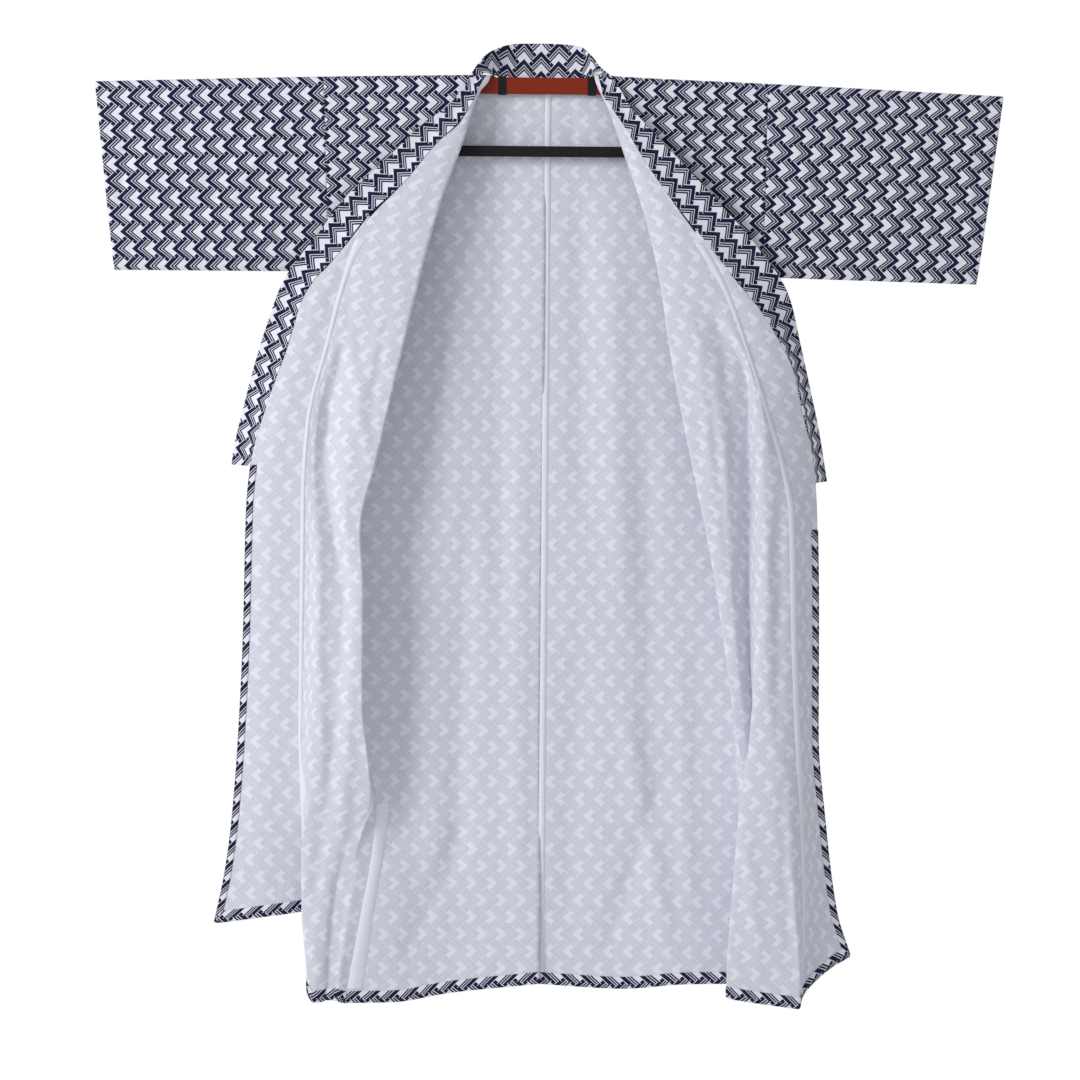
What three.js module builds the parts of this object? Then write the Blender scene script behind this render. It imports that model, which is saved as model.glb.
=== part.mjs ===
// A cotton yukata with tube sleeves, hung on a bar with both fronts turned back inside out.
// Millimetres. +Z is up, the front of the robe faces -Y, and +X is the wearer's left.
// The origin is the middle of the hanger bar.
import * as THREE from 'three';

// Driving sizes
const clothWall = 1.6;
const collarWall = 3;
const seamGap = 0.3;
const collarSeamGap = 0.8;
const bodyRows = 25;
const crestDrops = [0, 1.2, 3.6, 8, 18];
const okumiFromRow = 8;
const backColumns = 9;
const okumiColumns = 4;
const sleeveLengths = 6;
const barSize = { length: 236, depth: 6.4, height: 25, corner: 2.8 };
const armSize = { depth: 7.5, height: 14, corner: 2.8, start: 119.5, end: 606 };
const bandSize = { x: 67, width: 12, wall: 1 };
const obiRodSize = { length: 300, depth: 8, height: 16, z: -98, corner: 2.5 };
const linkSize = { x: 142, width: 10, depth: 4 };

// Monotone cubic through the rows of a table: every named column as a function of the first one.
function track(keyName, rows) {
  const sorted = [...rows].sort((a, b) => a[keyName] - b[keyName]);
  const keys = sorted.map((row) => row[keyName]);
  const columns = Object.keys(sorted[0]).filter((name) => name !== keyName);
  const curves = {};
  for (const name of columns) {
    const values = sorted.map((row) => row[name]);
    curves[name] = { values, slopes: monotoneSlopes(keys, values) };
  }
  return (key) => {
    const out = {};
    for (const name of columns) {
      out[name] = monotoneValue(keys, curves[name].values, curves[name].slopes, key);
    }
    return out;
  };
}

function monotoneSlopes(keys, values) {
  const count = keys.length;
  const chords = [];
  for (let i = 0; i < count - 1; i += 1) {
    chords.push((values[i + 1] - values[i]) / (keys[i + 1] - keys[i]));
  }
  const slopes = new Array(count).fill(0);
  slopes[0] = chords[0];
  slopes[count - 1] = chords[count - 2];
  for (let i = 1; i < count - 1; i += 1) {
    const before = chords[i - 1];
    const after = chords[i];
    slopes[i] = before * after > 0 ? (2 * before * after) / (before + after) : 0;
  }
  return slopes;
}

function monotoneValue(keys, values, slopes, key) {
  const last = keys.length - 1;
  if (key <= keys[0]) return values[0];
  if (key >= keys[last]) return values[last];
  let i = 0;
  while (key > keys[i + 1]) i += 1;
  const span = keys[i + 1] - keys[i];
  const t = (key - keys[i]) / span;
  const t2 = t * t;
  const t3 = t2 * t;
  return (2 * t3 - 3 * t2 + 1) * values[i]
    + (t3 - 2 * t2 + t) * span * slopes[i]
    + (3 * t2 - 2 * t3) * values[i + 1]
    + (t3 - t2) * span * slopes[i + 1];
}

const mix = (a, b, t) => a + (b - a) * t;

// The sleeve and armhole, seen end on: half depth against the share of the drop below the crest.
const tubeDepth = track('drop', [
  { drop: 0, depth: 8.6 },
  { drop: 0.03, depth: 8.8 },
  { drop: 0.2, depth: 12 },
  { drop: 0.5, depth: 14.5 },
  { drop: 0.78, depth: 13.5 },
  { drop: 0.92, depth: 9.5 },
  { drop: 0.98, depth: 5 },
  { drop: 1, depth: 0.95 },
]);

// How far the cloth has turned over the bar, against the drop below the crest in millimetres.
const crestTurn = track('drop', [
  { drop: 0, share: 0.12 },
  { drop: 1.2, share: 0.62 },
  { drop: 3.6, share: 0.87 },
  { drop: 8, share: 1 },
]);

// One table per fold line. out: distance from the centre line. depth: Y, minus is toward the front.
// Each side hangs its own way, so each has its own rows.
const wearerRight = {
  sign: -1,
  neckOut: 79,
  shoulder: track('out', [{ out: 79, z: 16 }, { out: 333, z: 11 }, { out: 675, z: 1 }]),
  armhole: { top: 334, bottom: 322, underarm: -280 },
  cuff: { top: 675, bottom: 644, hem: -280 },
  sideSeam: track('z', [
    { z: -280, out: 322, depth: 2 },
    { z: -380, out: 312, depth: 11 },
    { z: -560, out: 300, depth: 15 },
    { z: -760, out: 290, depth: 15 },
    { z: -900, out: 281, depth: 11 },
    { z: -1010, out: 262, depth: 2 },
    { z: -1077, out: 246, depth: -7 },
    { z: -1159, out: 253, depth: -8 },
    { z: -1227, out: 265, depth: -9 },
    { z: -1380, out: 292, depth: -9 },
  ]),
  backMiddle: track('z', [
    { z: 16, out: 118, depth: 8.6 },
    { z: 8, out: 118, depth: 8.6 },
    { z: -60, out: 120, depth: 15 },
    { z: -420, out: 125, depth: 21 },
    { z: -900, out: 128, depth: 24 },
    { z: -1380, out: 130, depth: 16 },
  ]),
  backOuter: track('z', [
    { z: 16, out: 225, depth: 8.6 },
    { z: 8, out: 225, depth: 8.6 },
    { z: -60, out: 225, depth: 14 },
    { z: -420, out: 222, depth: 24 },
    { z: -900, out: 205, depth: 27 },
    { z: -1040, out: 205, depth: 20 },
    { z: -1200, out: 216, depth: -1 },
    { z: -1380, out: 218, depth: 4 },
  ]),
  hidden: track('z', [
    { z: 16, out: 256, depth: -8.2 },
    { z: 8, out: 256, depth: -8.2 },
    { z: -60, out: 246, depth: -10.5 },
    { z: -170, out: 246, depth: -12 },
    { z: -278, out: 262, depth: -10 },
    { z: -380, out: 290, depth: -5 },
    { z: -560, out: 328, depth: -3 },
    { z: -760, out: 322, depth: -4 },
    { z: -920, out: 298, depth: -10 },
    { z: -1010, out: 278, depth: -12 },
    { z: -1077, out: 259, depth: -13 },
    { z: -1227, out: 284, depth: -15 },
    { z: -1380, out: 304, depth: -17 },
  ]),
  ridge: track('z', [
    { z: 16, out: 84, depth: -10, roll: 0.8, spread: 0.6 },
    { z: 6, out: 87, depth: -11.5, roll: 1.5, spread: 0 },
    { z: -11, out: 100, depth: -16, roll: 2.5, spread: 0 },
    { z: -88, out: 125, depth: -25, roll: 5, spread: 0 },
    { z: -199, out: 163, depth: -33, roll: 6, spread: 0 },
    { z: -391, out: 210, depth: -42, roll: 6, spread: 0 },
    { z: -560, out: 248, depth: -46, roll: 6, spread: 0 },
    { z: -666, out: 271, depth: -48, roll: 6, spread: 0 },
    { z: -756, out: 266, depth: -50, roll: 6, spread: 0 },
    { z: -920, out: 266, depth: -48, roll: 5, spread: 0 },
    { z: -1010, out: 257, depth: -38, roll: 4, spread: 0 },
    { z: -1070, out: 252, depth: -27, roll: 2, spread: 3 },
    { z: -1120, out: 275, depth: -19, roll: 0, spread: 7 },
    { z: -1227, out: 300, depth: -14, roll: 0, spread: 7 },
    { z: -1380, out: 314, depth: -16, roll: 0, spread: 5 },
  ]),
  // The collar seam down to the okumi, then the okumi seam to the hem.
  frontEdge: track('z', [
    { z: 16, out: 90, depth: -13 },
    { z: -11, out: 105, depth: -22 },
    { z: -58, out: 129, depth: -31 },
    { z: -88, out: 162, depth: -35 },
    { z: -142, out: 205, depth: -40 },
    { z: -227, out: 279, depth: -42 },
    { z: -296, out: 303, depth: -42 },
    { z: -395, out: 328, depth: -40 },
    { z: -505, out: 354, depth: -38 },
    { z: -622, out: 361, depth: -37 },
    { z: -951, out: 362, depth: -30 },
    { z: -1060, out: 358, depth: -18 },
    { z: -1138, out: 356, depth: -3 },
    { z: -1228, out: 353, depth: 9 },
    { z: -1380, out: 353, depth: 12 },
  ]),
  // Where the four soft folds lie between the ridge (0) and the front edge (1), and their lift.
  softFolds: track('z', [
    { z: 15, s1: 0.2, l1: 0, s2: 0.4, l2: 0, s3: 0.6, l3: 0, s4: 0.8, l4: 0 },
    { z: -300, s1: 0.25, l1: -3, s2: 0.5, l2: -4, s3: 0.7, l3: -3, s4: 0.86, l4: -1 },
    { z: -440, s1: 0.33, l1: -4, s2: 0.75, l2: 4, s3: 0.87, l3: 0, s4: 0.94, l4: 0 },
    { z: -549, s1: 0.35, l1: -5, s2: 0.73, l2: 9, s3: 0.86, l3: 1, s4: 0.93, l4: 0 },
    { z: -683, s1: 0.2, l1: -3, s2: 0.45, l2: 9, s3: 0.7, l3: -2, s4: 0.86, l4: 0 },
    { z: -762, s1: 0.17, l1: 0, s2: 0.34, l2: 6, s3: 0.66, l3: -4, s4: 0.85, l4: 0 },
    { z: -900, s1: 0.2, l1: -1, s2: 0.42, l2: 0, s3: 0.7, l3: -6, s4: 0.88, l4: -2 },
    { z: -1060, s1: 0.25, l1: -3, s2: 0.5, l2: -7, s3: 0.84, l3: -10, s4: 0.97, l4: -3 },
    { z: -1138, s1: 0.35, l1: -9, s2: 0.7, l2: -15, s3: 1.0, l3: -17, s4: 0.86, l4: -4 },
    { z: -1228, s1: 0.32, l1: -14, s2: 0.7, l2: -26, s3: 1.04, l3: -29, s4: 0.62, l4: -2 },
    { z: -1347, s1: 0.25, l1: -12, s2: 0.55, l2: -25, s3: 0.82, l3: -30, s4: 0.5, l4: -1 },
    { z: -1380, s1: 0.25, l1: -12, s2: 0.55, l2: -25, s3: 0.8, l3: -30, s4: 0.5, l4: -1 },
  ]),
  outerEdge: track('z', [
    { z: -200, out: 264, depth: -42 },
    { z: -232, out: 288, depth: -42 },
    { z: -265, out: 315, depth: -42 },
    { z: -319, out: 358, depth: -41 },
    { z: -395, out: 382, depth: -37 },
    { z: -479, out: 412, depth: -32 },
    { z: -563, out: 435, depth: -29 },
    { z: -640, out: 442, depth: -27 },
    { z: -817, out: 445, depth: -24 },
    { z: -982, out: 452, depth: -16 },
    { z: -1101, out: 461, depth: -5 },
    { z: -1178, out: 471, depth: 3 },
    { z: -1256, out: 487, depth: 8 },
  ]),
  okumiRise: 3,
  collarEnd: -572,
  // The collar's free edge, from its seam: out, up and back.
  collar: track('z', [
    { z: -11, out: 14, up: 15, back: 4 },
    { z: -88, out: 25, up: 26, back: 7 },
    { z: -142, out: 32, up: 30, back: 8 },
    { z: -227, out: 30, up: 31, back: 9 },
    { z: -288, out: 33, up: 31, back: 10 },
    { z: -319, out: 36, up: 14, back: 16 },
    { z: -395, out: 39, up: 12, back: 26 },
    { z: -506, out: 32, up: 7, back: 32 },
    { z: -566, out: 30, up: 2, back: 33 },
  ]),
  // Hem height at each station across the back, the front and the okumi.
  hem: {
    back: [-1343, -1357, -1371, -1372],
    front: [-1372, -1368, -1367, -1367, -1367, -1369, -1370, -1354, -1290, -1236],
    okumi: [-1236, -1246, -1256],
  },
};

const wearerLeft = {
  sign: 1,
  neckOut: 66,
  shoulder: track('out', [{ out: 66, z: 18.5 }, { out: 112, z: 14.8 }, { out: 330, z: 6 }, { out: 682, z: -10 }]),
  armhole: { top: 331, bottom: 325, underarm: -283 },
  cuff: { top: 682, bottom: 644, hem: -291 },
  sideSeam: track('z', [
    { z: -283, out: 325, depth: 2 },
    { z: -380, out: 318, depth: 10 },
    { z: -560, out: 306, depth: 16 },
    { z: -760, out: 292, depth: 19 },
    { z: -969, out: 291, depth: 20 },
    { z: -1078, out: 294, depth: 20 },
    { z: -1380, out: 301, depth: 20 },
  ]),
  backMiddle: track('z', [
    { z: 16, out: 112, depth: 8.6 },
    { z: 8, out: 112, depth: 8.6 },
    { z: -60, out: 115, depth: 15 },
    { z: -420, out: 118, depth: 22 },
    { z: -900, out: 120, depth: 20 },
    { z: -1380, out: 122, depth: 26 },
  ]),
  backOuter: track('z', [
    { z: 16, out: 222, depth: 8.6 },
    { z: 8, out: 222, depth: 8.6 },
    { z: -60, out: 222, depth: 14 },
    { z: -420, out: 218, depth: 22 },
    { z: -900, out: 215, depth: 26 },
    { z: -1380, out: 215, depth: 16 },
  ]),
  hidden: track('z', [
    { z: 18, out: 252, depth: -8.2 },
    { z: 7, out: 252, depth: -8.2 },
    { z: -60, out: 240, depth: -10 },
    { z: -170, out: 242, depth: -11 },
    { z: -278, out: 256, depth: -8 },
    { z: -380, out: 262, depth: -3 },
    { z: -560, out: 274, depth: 2 },
    { z: -760, out: 278, depth: 9 },
    { z: -969, out: 291.5, depth: 13 },
    { z: -1078, out: 303, depth: 17 },
    { z: -1380, out: 309, depth: 16 },
  ]),
  ridge: track('z', [
    { z: 18, out: 70, depth: -10, roll: 0.8, spread: 0.6 },
    { z: 6, out: 73, depth: -11.5, roll: 1.5, spread: 0 },
    { z: -34, out: 92, depth: -17, roll: 3, spread: 0 },
    { z: -102, out: 116, depth: -23, roll: 4.5, spread: 0 },
    { z: -195, out: 147, depth: -28, roll: 5, spread: 0 },
    { z: -280, out: 168, depth: -30, roll: 5, spread: 0 },
    { z: -405, out: 188, depth: -28, roll: 5, spread: 0 },
    { z: -570, out: 222, depth: -23, roll: 5, spread: 0 },
    { z: -706, out: 251, depth: -15, roll: 5, spread: 0 },
    { z: -868, out: 277, depth: -5, roll: 4, spread: 0 },
    { z: -969, out: 292, depth: 3, roll: 2, spread: 0 },
    { z: -1078, out: 311, depth: 12, roll: 0, spread: 3 },
    { z: -1380, out: 317, depth: 13, roll: 0, spread: 3 },
  ]),
  frontEdge: track('z', [
    { z: 18, out: 76, depth: -13 },
    { z: -11, out: 84, depth: -21 },
    { z: -34, out: 98, depth: -27 },
    { z: -54, out: 112, depth: -31 },
    { z: -116, out: 149, depth: -38 },
    { z: -182, out: 194, depth: -42 },
    { z: -240, out: 236, depth: -42 },
    { z: -288, out: 264, depth: -40 },
    { z: -346, out: 288, depth: -38 },
    { z: -408, out: 309, depth: -36 },
    { z: -477, out: 332, depth: -33 },
    { z: -571, out: 361, depth: -30 },
    { z: -640, out: 374, depth: -30 },
    { z: -837, out: 380, depth: -30 },
    { z: -1100, out: 392, depth: -26 },
    { z: -1231, out: 396, depth: -22 },
    { z: -1380, out: 390, depth: -20 },
  ]),
  softFolds: track('z', [
    { z: 15, s1: 0.2, l1: 0, s2: 0.4, l2: 0, s3: 0.6, l3: 0, s4: 0.8, l4: 0 },
    { z: -300, s1: 0.25, l1: -5, s2: 0.5, l2: -6, s3: 0.75, l3: -4, s4: 0.88, l4: -2 },
    { z: -425, s1: 0.42, l1: -8, s2: 0.86, l2: 9, s3: 0.93, l3: -4, s4: 0.965, l4: -3 },
    { z: -545, s1: 0.35, l1: -8, s2: 0.63, l2: 18, s3: 0.73, l3: -10, s4: 0.84, l4: -13 },
    { z: -700, s1: 0.2, l1: -5, s2: 0.44, l2: 22, s3: 0.54, l3: -14, s4: 0.67, l4: -17 },
    { z: -837, s1: 0.15, l1: -2, s2: 0.35, l2: 20, s3: 0.42, l3: -20, s4: 0.56, l4: -26 },
    { z: -969, s1: 0.12, l1: 3, s2: 0.28, l2: 15, s3: 0.19, l3: -32, s4: 0.54, l4: -31 },
    { z: -1078, s1: 0.08, l1: 3, s2: 0.16, l2: 6, s3: -0.19, l3: -59, s4: 0.58, l4: -39 },
    { z: -1232, s1: 0.07, l1: 2, s2: 0.12, l2: 0, s3: -0.38, l3: -69, s4: 0.76, l4: -38 },
    { z: -1350, s1: 0.07, l1: 1, s2: 0.11, l2: 0, s3: -0.5, l3: -74, s4: 0.93, l4: -30 },
    { z: -1380, s1: 0.07, l1: 1, s2: 0.11, l2: 0, s3: -0.5, l3: -74, s4: 0.93, l4: -30 },
  ]),
  outerEdge: track('z', [
    { z: -214, out: 221, depth: -42 },
    { z: -232, out: 240, depth: -42 },
    { z: -283, out: 277, depth: -40 },
    { z: -330, out: 317, depth: -35 },
    { z: -365, out: 341, depth: -29 },
    { z: -423, out: 371, depth: -18 },
    { z: -486, out: 386, depth: -8 },
    { z: -571, out: 405, depth: 0 },
    { z: -648, out: 410, depth: 5 },
    { z: -793, out: 413, depth: 9 },
    { z: -968, out: 414, depth: 10 },
    { z: -1100, out: 426, depth: 10 },
    { z: -1231, out: 444, depth: 8 },
    { z: -1297, out: 465, depth: 4 },
  ]),
  okumiRise: 3,
  collarEnd: -590,
  collar: track('z', [
    { z: -11, out: 16, up: 14, back: 4 },
    { z: -54, out: 19, up: 17, back: 4 },
    { z: -116, out: 29, up: 27, back: 4 },
    { z: -182, out: 37, up: 34, back: 5 },
    { z: -252, out: 41, up: 37, back: 7 },
    { z: -290, out: 41, up: 40, back: 11 },
    { z: -330, out: 43, up: 26, back: 18 },
    { z: -365, out: 35, up: 11, back: 30 },
    { z: -423, out: 20, up: 4, back: 44 },
    { z: -572, out: 19, up: 3, back: 45 },
  ]),
  hem: {
    back: [-1344, -1350, -1342, -1340],
    front: [-1340, -1345, -1350, -1350, -1350, -1350, -1352, -1356, -1371, -1362],
    okumi: [-1362, -1318, -1297],
  },
};

// Stations of one side at height z, from the side seam round to the front edge.
function frontStations(side, z) {
  const edge = side.frontEdge(z);
  const ridge = side.ridge(z);
  const folds = side.softFolds(z);
  const hidden = side.hidden(z);
  const points = [armholePoint(side, z, -1), hidden];
  const rollOut = ridge.out + 0.4 * ridge.roll;
  points.push({ out: rollOut - ridge.spread, depth: ridge.depth + ridge.roll });
  points.push({ out: ridge.out, depth: ridge.depth });
  points.push({ out: rollOut + ridge.spread, depth: ridge.depth - ridge.roll });
  for (const n of [1, 2, 3, 4]) {
    const share = folds[`s${n}`];
    points.push({
      out: mix(ridge.out, edge.out, share),
      depth: mix(ridge.depth, edge.depth, share) + folds[`l${n}`] - ridge.roll * (1 - Math.min(1, Math.abs(share))),
    });
  }
  points.push(edge);
  return points;
}

// The okumi goes on from the front edge to the robe's outer edge.
function okumiStations(side, z) {
  const seam = side.frontEdge(z);
  const edge = side.outerEdge(z);
  const middle = {
    out: mix(seam.out, edge.out, 0.5),
    depth: mix(seam.depth, edge.depth, 0.5) - 0.05 * Math.abs(edge.out - seam.out),
  };
  return [seam, middle, edge];
}

// The back, from the centre seam out to the side seam.
function backStations(side, z) {
  const middle = side.backMiddle(z);
  const centre = { out: 0, depth: middle.depth + 1.5 };
  return [centre, middle, side.backOuter(z), armholePoint(side, z, 1)];
}

// Above the underarm the edge follows the sleeve's end, below it the side seam.
function armholePoint(side, z, face) {
  const { top, bottom, underarm } = side.armhole;
  if (z <= underarm) return side.sideSeam(z);
  const crest = side.shoulder(top).z;
  const drop = Math.min(1, Math.max(0, (crest - z) / (crest - underarm)));
  const blend = Math.max(0, (drop - 0.9) / 0.1);
  const seam = side.sideSeam(z);
  return {
    out: mix(top, bottom, drop),
    depth: mix(face * tubeDepth(drop).depth, seam.depth, blend * blend),
  };
}

// A smooth section through the stations: t counts stations.
function sectionPoint(points, t) {
  const keys = points.map((point, i) => i);
  const outs = points.map((point) => point.out);
  const depths = points.map((point) => point.depth);
  return {
    out: monotoneValue(keys, outs, monotoneSlopes(keys, outs), t),
    depth: monotoneValue(keys, depths, monotoneSlopes(keys, depths), t),
  };
}

// The whole side below the shoulder: t from -3 (centre seam) by 0 (side seam) and 9 (front edge) to 11.
function bodyPoint(side, part, t, z) {
  const joined = z <= side.armhole.underarm;
  let points = part === 'back' ? backStations(side, z) : frontStations(side, z);
  if (joined) points = backStations(side, z).concat(frontStations(side, z).slice(1));
  if (part !== 'back' && z < okumiHeight(side, 9, 0) + 12) points = points.concat(okumiStations(side, z).slice(1));
  const place = sectionPoint(points, t + (joined || part === 'back' ? 3 : 0));
  place.depth *= crestTurn(crestHeight(side) - z).share;
  const lowered = z - shoulderDrop(side, place.out, z);
  return new THREE.Vector3(side.sign * place.out, place.depth, lowered);
}

// The shoulder slopes down outward; the slope fades out a hand's width below it.
function shoulderDrop(side, out, z) {
  const fade = Math.min(1, Math.max(0, 1 + z / 160));
  return (side.shoulder(side.neckOut).z - side.shoulder(Math.max(out, side.neckOut)).z) * fade;
}

const crestHeight = (side) => side.shoulder(side.neckOut).z;

// Height of the back's upper edge: the shoulder crest, dipping to the nape inside the neck.
function backTop(side, t) {
  const out = sectionPoint(backStations(side, -20), t + 3).out;
  const inward = Math.max(0, Math.min(1, (side.neckOut - out) / side.neckOut));
  return crestHeight(side) - 21 * Math.pow(inward, 0.45);
}

function stationValue(values, t) {
  const keys = values.map((value, i) => i);
  return monotoneValue(keys, values, monotoneSlopes(keys, values), t);
}

// Row heights of one column: close together where the cloth turns over the bar, then wider.
function rowHeight(top, hem, j) {
  const close = crestDrops.length - 1;
  if (j <= close) return top - crestDrops[j];
  const share = (j - close) / (bodyRows - close);
  return mix(top - crestDrops[close], hem, Math.pow(share, 1.1));
}

// The okumi starts at one of the front's rows and keeps the same rows down to the hem.
function okumiHeight(side, t, j) {
  const seamHem = stationValue(side.hem.front, 9);
  const seamTop = rowHeight(crestHeight(side), seamHem, okumiFromRow);
  const seamZ = rowHeight(crestHeight(side), seamHem, okumiFromRow + j);
  const share = (seamZ - seamTop) / (seamHem - seamTop);
  const top = seamTop + side.okumiRise * (t - 9) / 2;
  return mix(top, stationValue(side.hem.okumi, t - 9), share);
}

// A wall of even thickness on a grid of places. place(i, j) gives a point, normal(i, j) its direction.
function wall(columns, rows, place, normal, thickness, closed = false) {
  const positions = [];
  const half = thickness / 2;
  const across = closed ? columns : columns + 1;
  for (const face of [1, -1]) {
    for (let j = 0; j <= rows; j += 1) {
      for (let i = 0; i < across; i += 1) {
        const point = place(i, j).clone().addScaledVector(normal(i, j), face * half);
        positions.push(point.x, point.y, point.z);
      }
    }
  }
  const layer = across * (rows + 1);
  const at = (i, j, face) => (i % across) + across * j + (face > 0 ? 0 : layer);
  const index = [];
  const quad = (a, b, c, d) => index.push(a, b, c, a, c, d);
  for (let j = 0; j < rows; j += 1) {
    for (let i = 0; i < columns; i += 1) {
      quad(at(i, j, 1), at(i + 1, j, 1), at(i + 1, j + 1, 1), at(i, j + 1, 1));
      quad(at(i, j, -1), at(i, j + 1, -1), at(i + 1, j + 1, -1), at(i + 1, j, -1));
    }
  }
  for (let i = 0; i < columns; i += 1) {
    quad(at(i, 0, 1), at(i, 0, -1), at(i + 1, 0, -1), at(i + 1, 0, 1));
    quad(at(i, rows, 1), at(i + 1, rows, 1), at(i + 1, rows, -1), at(i, rows, -1));
  }
  if (!closed) {
    for (let j = 0; j < rows; j += 1) {
      quad(at(0, j, 1), at(0, j + 1, 1), at(0, j + 1, -1), at(0, j, -1));
      quad(at(columns, j, 1), at(columns, j, -1), at(columns, j + 1, -1), at(columns, j + 1, 1));
    }
  }
  const geometry = new THREE.BufferGeometry();
  geometry.setAttribute('position', new THREE.Float32BufferAttribute(positions, 3));
  geometry.setIndex(index);
  if (signedVolume(geometry) < 0) flip(geometry);
  geometry.computeVertexNormals();
  return geometry;
}

function signedVolume(geometry) {
  const position = geometry.attributes.position;
  const index = geometry.index;
  const a = new THREE.Vector3();
  const b = new THREE.Vector3();
  const c = new THREE.Vector3();
  let sum = 0;
  for (let i = 0; i < index.count; i += 3) {
    a.fromBufferAttribute(position, index.getX(i));
    b.fromBufferAttribute(position, index.getX(i + 1));
    c.fromBufferAttribute(position, index.getX(i + 2));
    sum += a.dot(b.cross(c));
  }
  return sum;
}

function flip(geometry) {
  const index = geometry.index;
  for (let i = 0; i < index.count; i += 3) {
    const second = index.getX(i + 1);
    index.setX(i + 1, index.getX(i + 2));
    index.setX(i + 2, second);
  }
}

// The direction square to the surface, from short steps along both parameters.
function surfaceNormal(surface, t, z, tStep, zStep) {
  const alongT = surface(t + tStep, z).sub(surface(t - tStep, z));
  const alongZ = surface(t, z + zStep).sub(surface(t, z - zStep));
  return alongT.cross(alongZ).normalize();
}

// One panel of a side: columns at the listed stations, rows from top(t) to hem(t).
function panel(side, part, stations, rows, heightOf, gapStart, gapEnd, crest) {
  const surface = (t, z) => bodyPoint(side, part, t, z);
  const last = stations.length - 1;
  const heights = stations.map((t) => {
    const list = [];
    for (let j = 0; j <= rows; j += 1) list.push(heightOf(t, j));
    return list;
  });
  const lowest = part === 'back' ? -3 : 0;
  const highest = part === 'back' ? 0 : (part === 'okumi' ? 11 : 9);
  const place = (i, j) => {
    const point = surface(stations[i], heights[i][j]);
    const inward = i === 0 ? 0.04 : -0.04;
    const gap = i === 0 ? gapStart : (i === last ? gapEnd : 0);
    if (gap > 0) {
      const inner = surface(stations[i] + inward, heights[i][j]);
      point.addScaledVector(inner.sub(point).normalize(), gap);
    }
    if (crest && j === 0 && crest(stations[i])) point.y = (part === 'back' ? 1 : -1) * (seamGap / 2 + 0.02);
    return point;
  };
  const normal = (i, j) => {
    const t = stations[i];
    const z = heights[i][j];
    if (crest && j === 0 && crest(t)) return new THREE.Vector3(0, 0, -side.sign);
    const shared = t === 0 && z < side.armhole.underarm - 2;
    const inside = shared ? 0 : Math.min(highest - 0.011, Math.max(lowest + 0.011, t));
    return surfaceNormal(surface, inside, z - (j === 0 ? 2 : 0), 0.01, 1.5);
  };
  return wall(last, rows, place, normal, clothWall);
}

function evenStations(from, to, count) {
  const list = [];
  for (let i = 0; i <= count; i += 1) list.push(mix(from, to, i / count));
  return list;
}

const frontColumnStations = [0, 0.5, 1, 1.6, 2, 3, 4, 5, 5.5, 6, 6.5, 7, 8, 9];

// The back's station that lies a given distance from the centre line, near the shoulder.
function stationAt(side, out) {
  let low = -3;
  let high = 0;
  for (let k = 0; k < 30; k += 1) {
    const middle = (low + high) / 2;
    if (sectionPoint(backStations(side, -5), middle + 3).out < out) low = middle;
    else high = middle;
  }
  return high;
}

function backPanel(side) {
  const neck = [stationAt(side, side.neckOut - 9), stationAt(side, side.neckOut + 0.5)];
  const stations = [-3, -2.66, ...neck, ...evenStations(-2, 0, backColumns - 3)];
  const height = (t, j) => rowHeight(backTop(side, t), stationValue(side.hem.back, t + 3), j);
  const overCrest = (t) => sectionPoint(backStations(side, -5), t + 3).out > side.neckOut;
  return panel(side, 'back', stations, bodyRows, height, seamGap / 2, seamGap / 2, overCrest);
}

function frontPanel(side) {
  const height = (t, j) => rowHeight(crestHeight(side), stationValue(side.hem.front, t), j);
  const overCrest = (t) => t < 4.5;
  return panel(side, 'front', frontColumnStations, bodyRows, height, seamGap / 2, seamGap / 2, overCrest);
}

function okumiPanel(side) {
  const stations = evenStations(9, 11, okumiColumns);
  const height = (t, j) => okumiHeight(side, t, j);
  return panel(side, 'okumi', stations, bodyRows - okumiFromRow, height, seamGap / 2, 0, null);
}

// The sleeve: a tube of cloth folded over the arm of the hanger, open at the cuff and the armhole.
const ringDrops = [0, 0.004, 0.0125, 0.03, 0.2, 0.42, 0.64, 0.82, 0.93, 0.98, 1];
function sleevePoint(side, along, drop, face) {
  const armhole = mix(side.armhole.top, side.armhole.bottom, drop) + seamGap;
  const cuff = mix(side.cuff.top, side.cuff.bottom, drop);
  const out = mix(armhole, cuff, along);
  const crest = side.shoulder(out).z;
  const low = mix(side.armhole.underarm, side.cuff.hem, along);
  const turn = crestTurn(drop * (crest - low)).share;
  const swell = 1 + 0.12 * Math.sin(Math.PI * along) * Math.sin(Math.PI * drop);
  return new THREE.Vector3(side.sign * out, face * tubeDepth(drop).depth * turn * swell, mix(crest, low, drop));
}

function sleeve(side) {
  const ring = [];
  ringDrops.forEach((drop, i) => ring.push({ drop, face: i === 0 || i === ringDrops.length - 1 ? 0 : -1 }));
  for (let i = ringDrops.length - 2; i > 0; i -= 1) ring.push({ drop: ringDrops[i], face: 1 });
  const count = ring.length;
  const place = (i, j) => sleevePoint(side, j / sleeveLengths, ring[i % count].drop, ring[i % count].face);
  const normal = (i, j) => {
    const next = place((i + 1) % count, j);
    const before = place((i + count - 1) % count, j);
    const around = next.sub(before);
    const along = place(i, Math.min(j + 1, sleeveLengths)).sub(place(i, Math.max(j - 1, 0)));
    return around.cross(along).normalize();
  };
  return wall(count, sleeveLengths, place, normal, clothWall, true);
}

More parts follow.
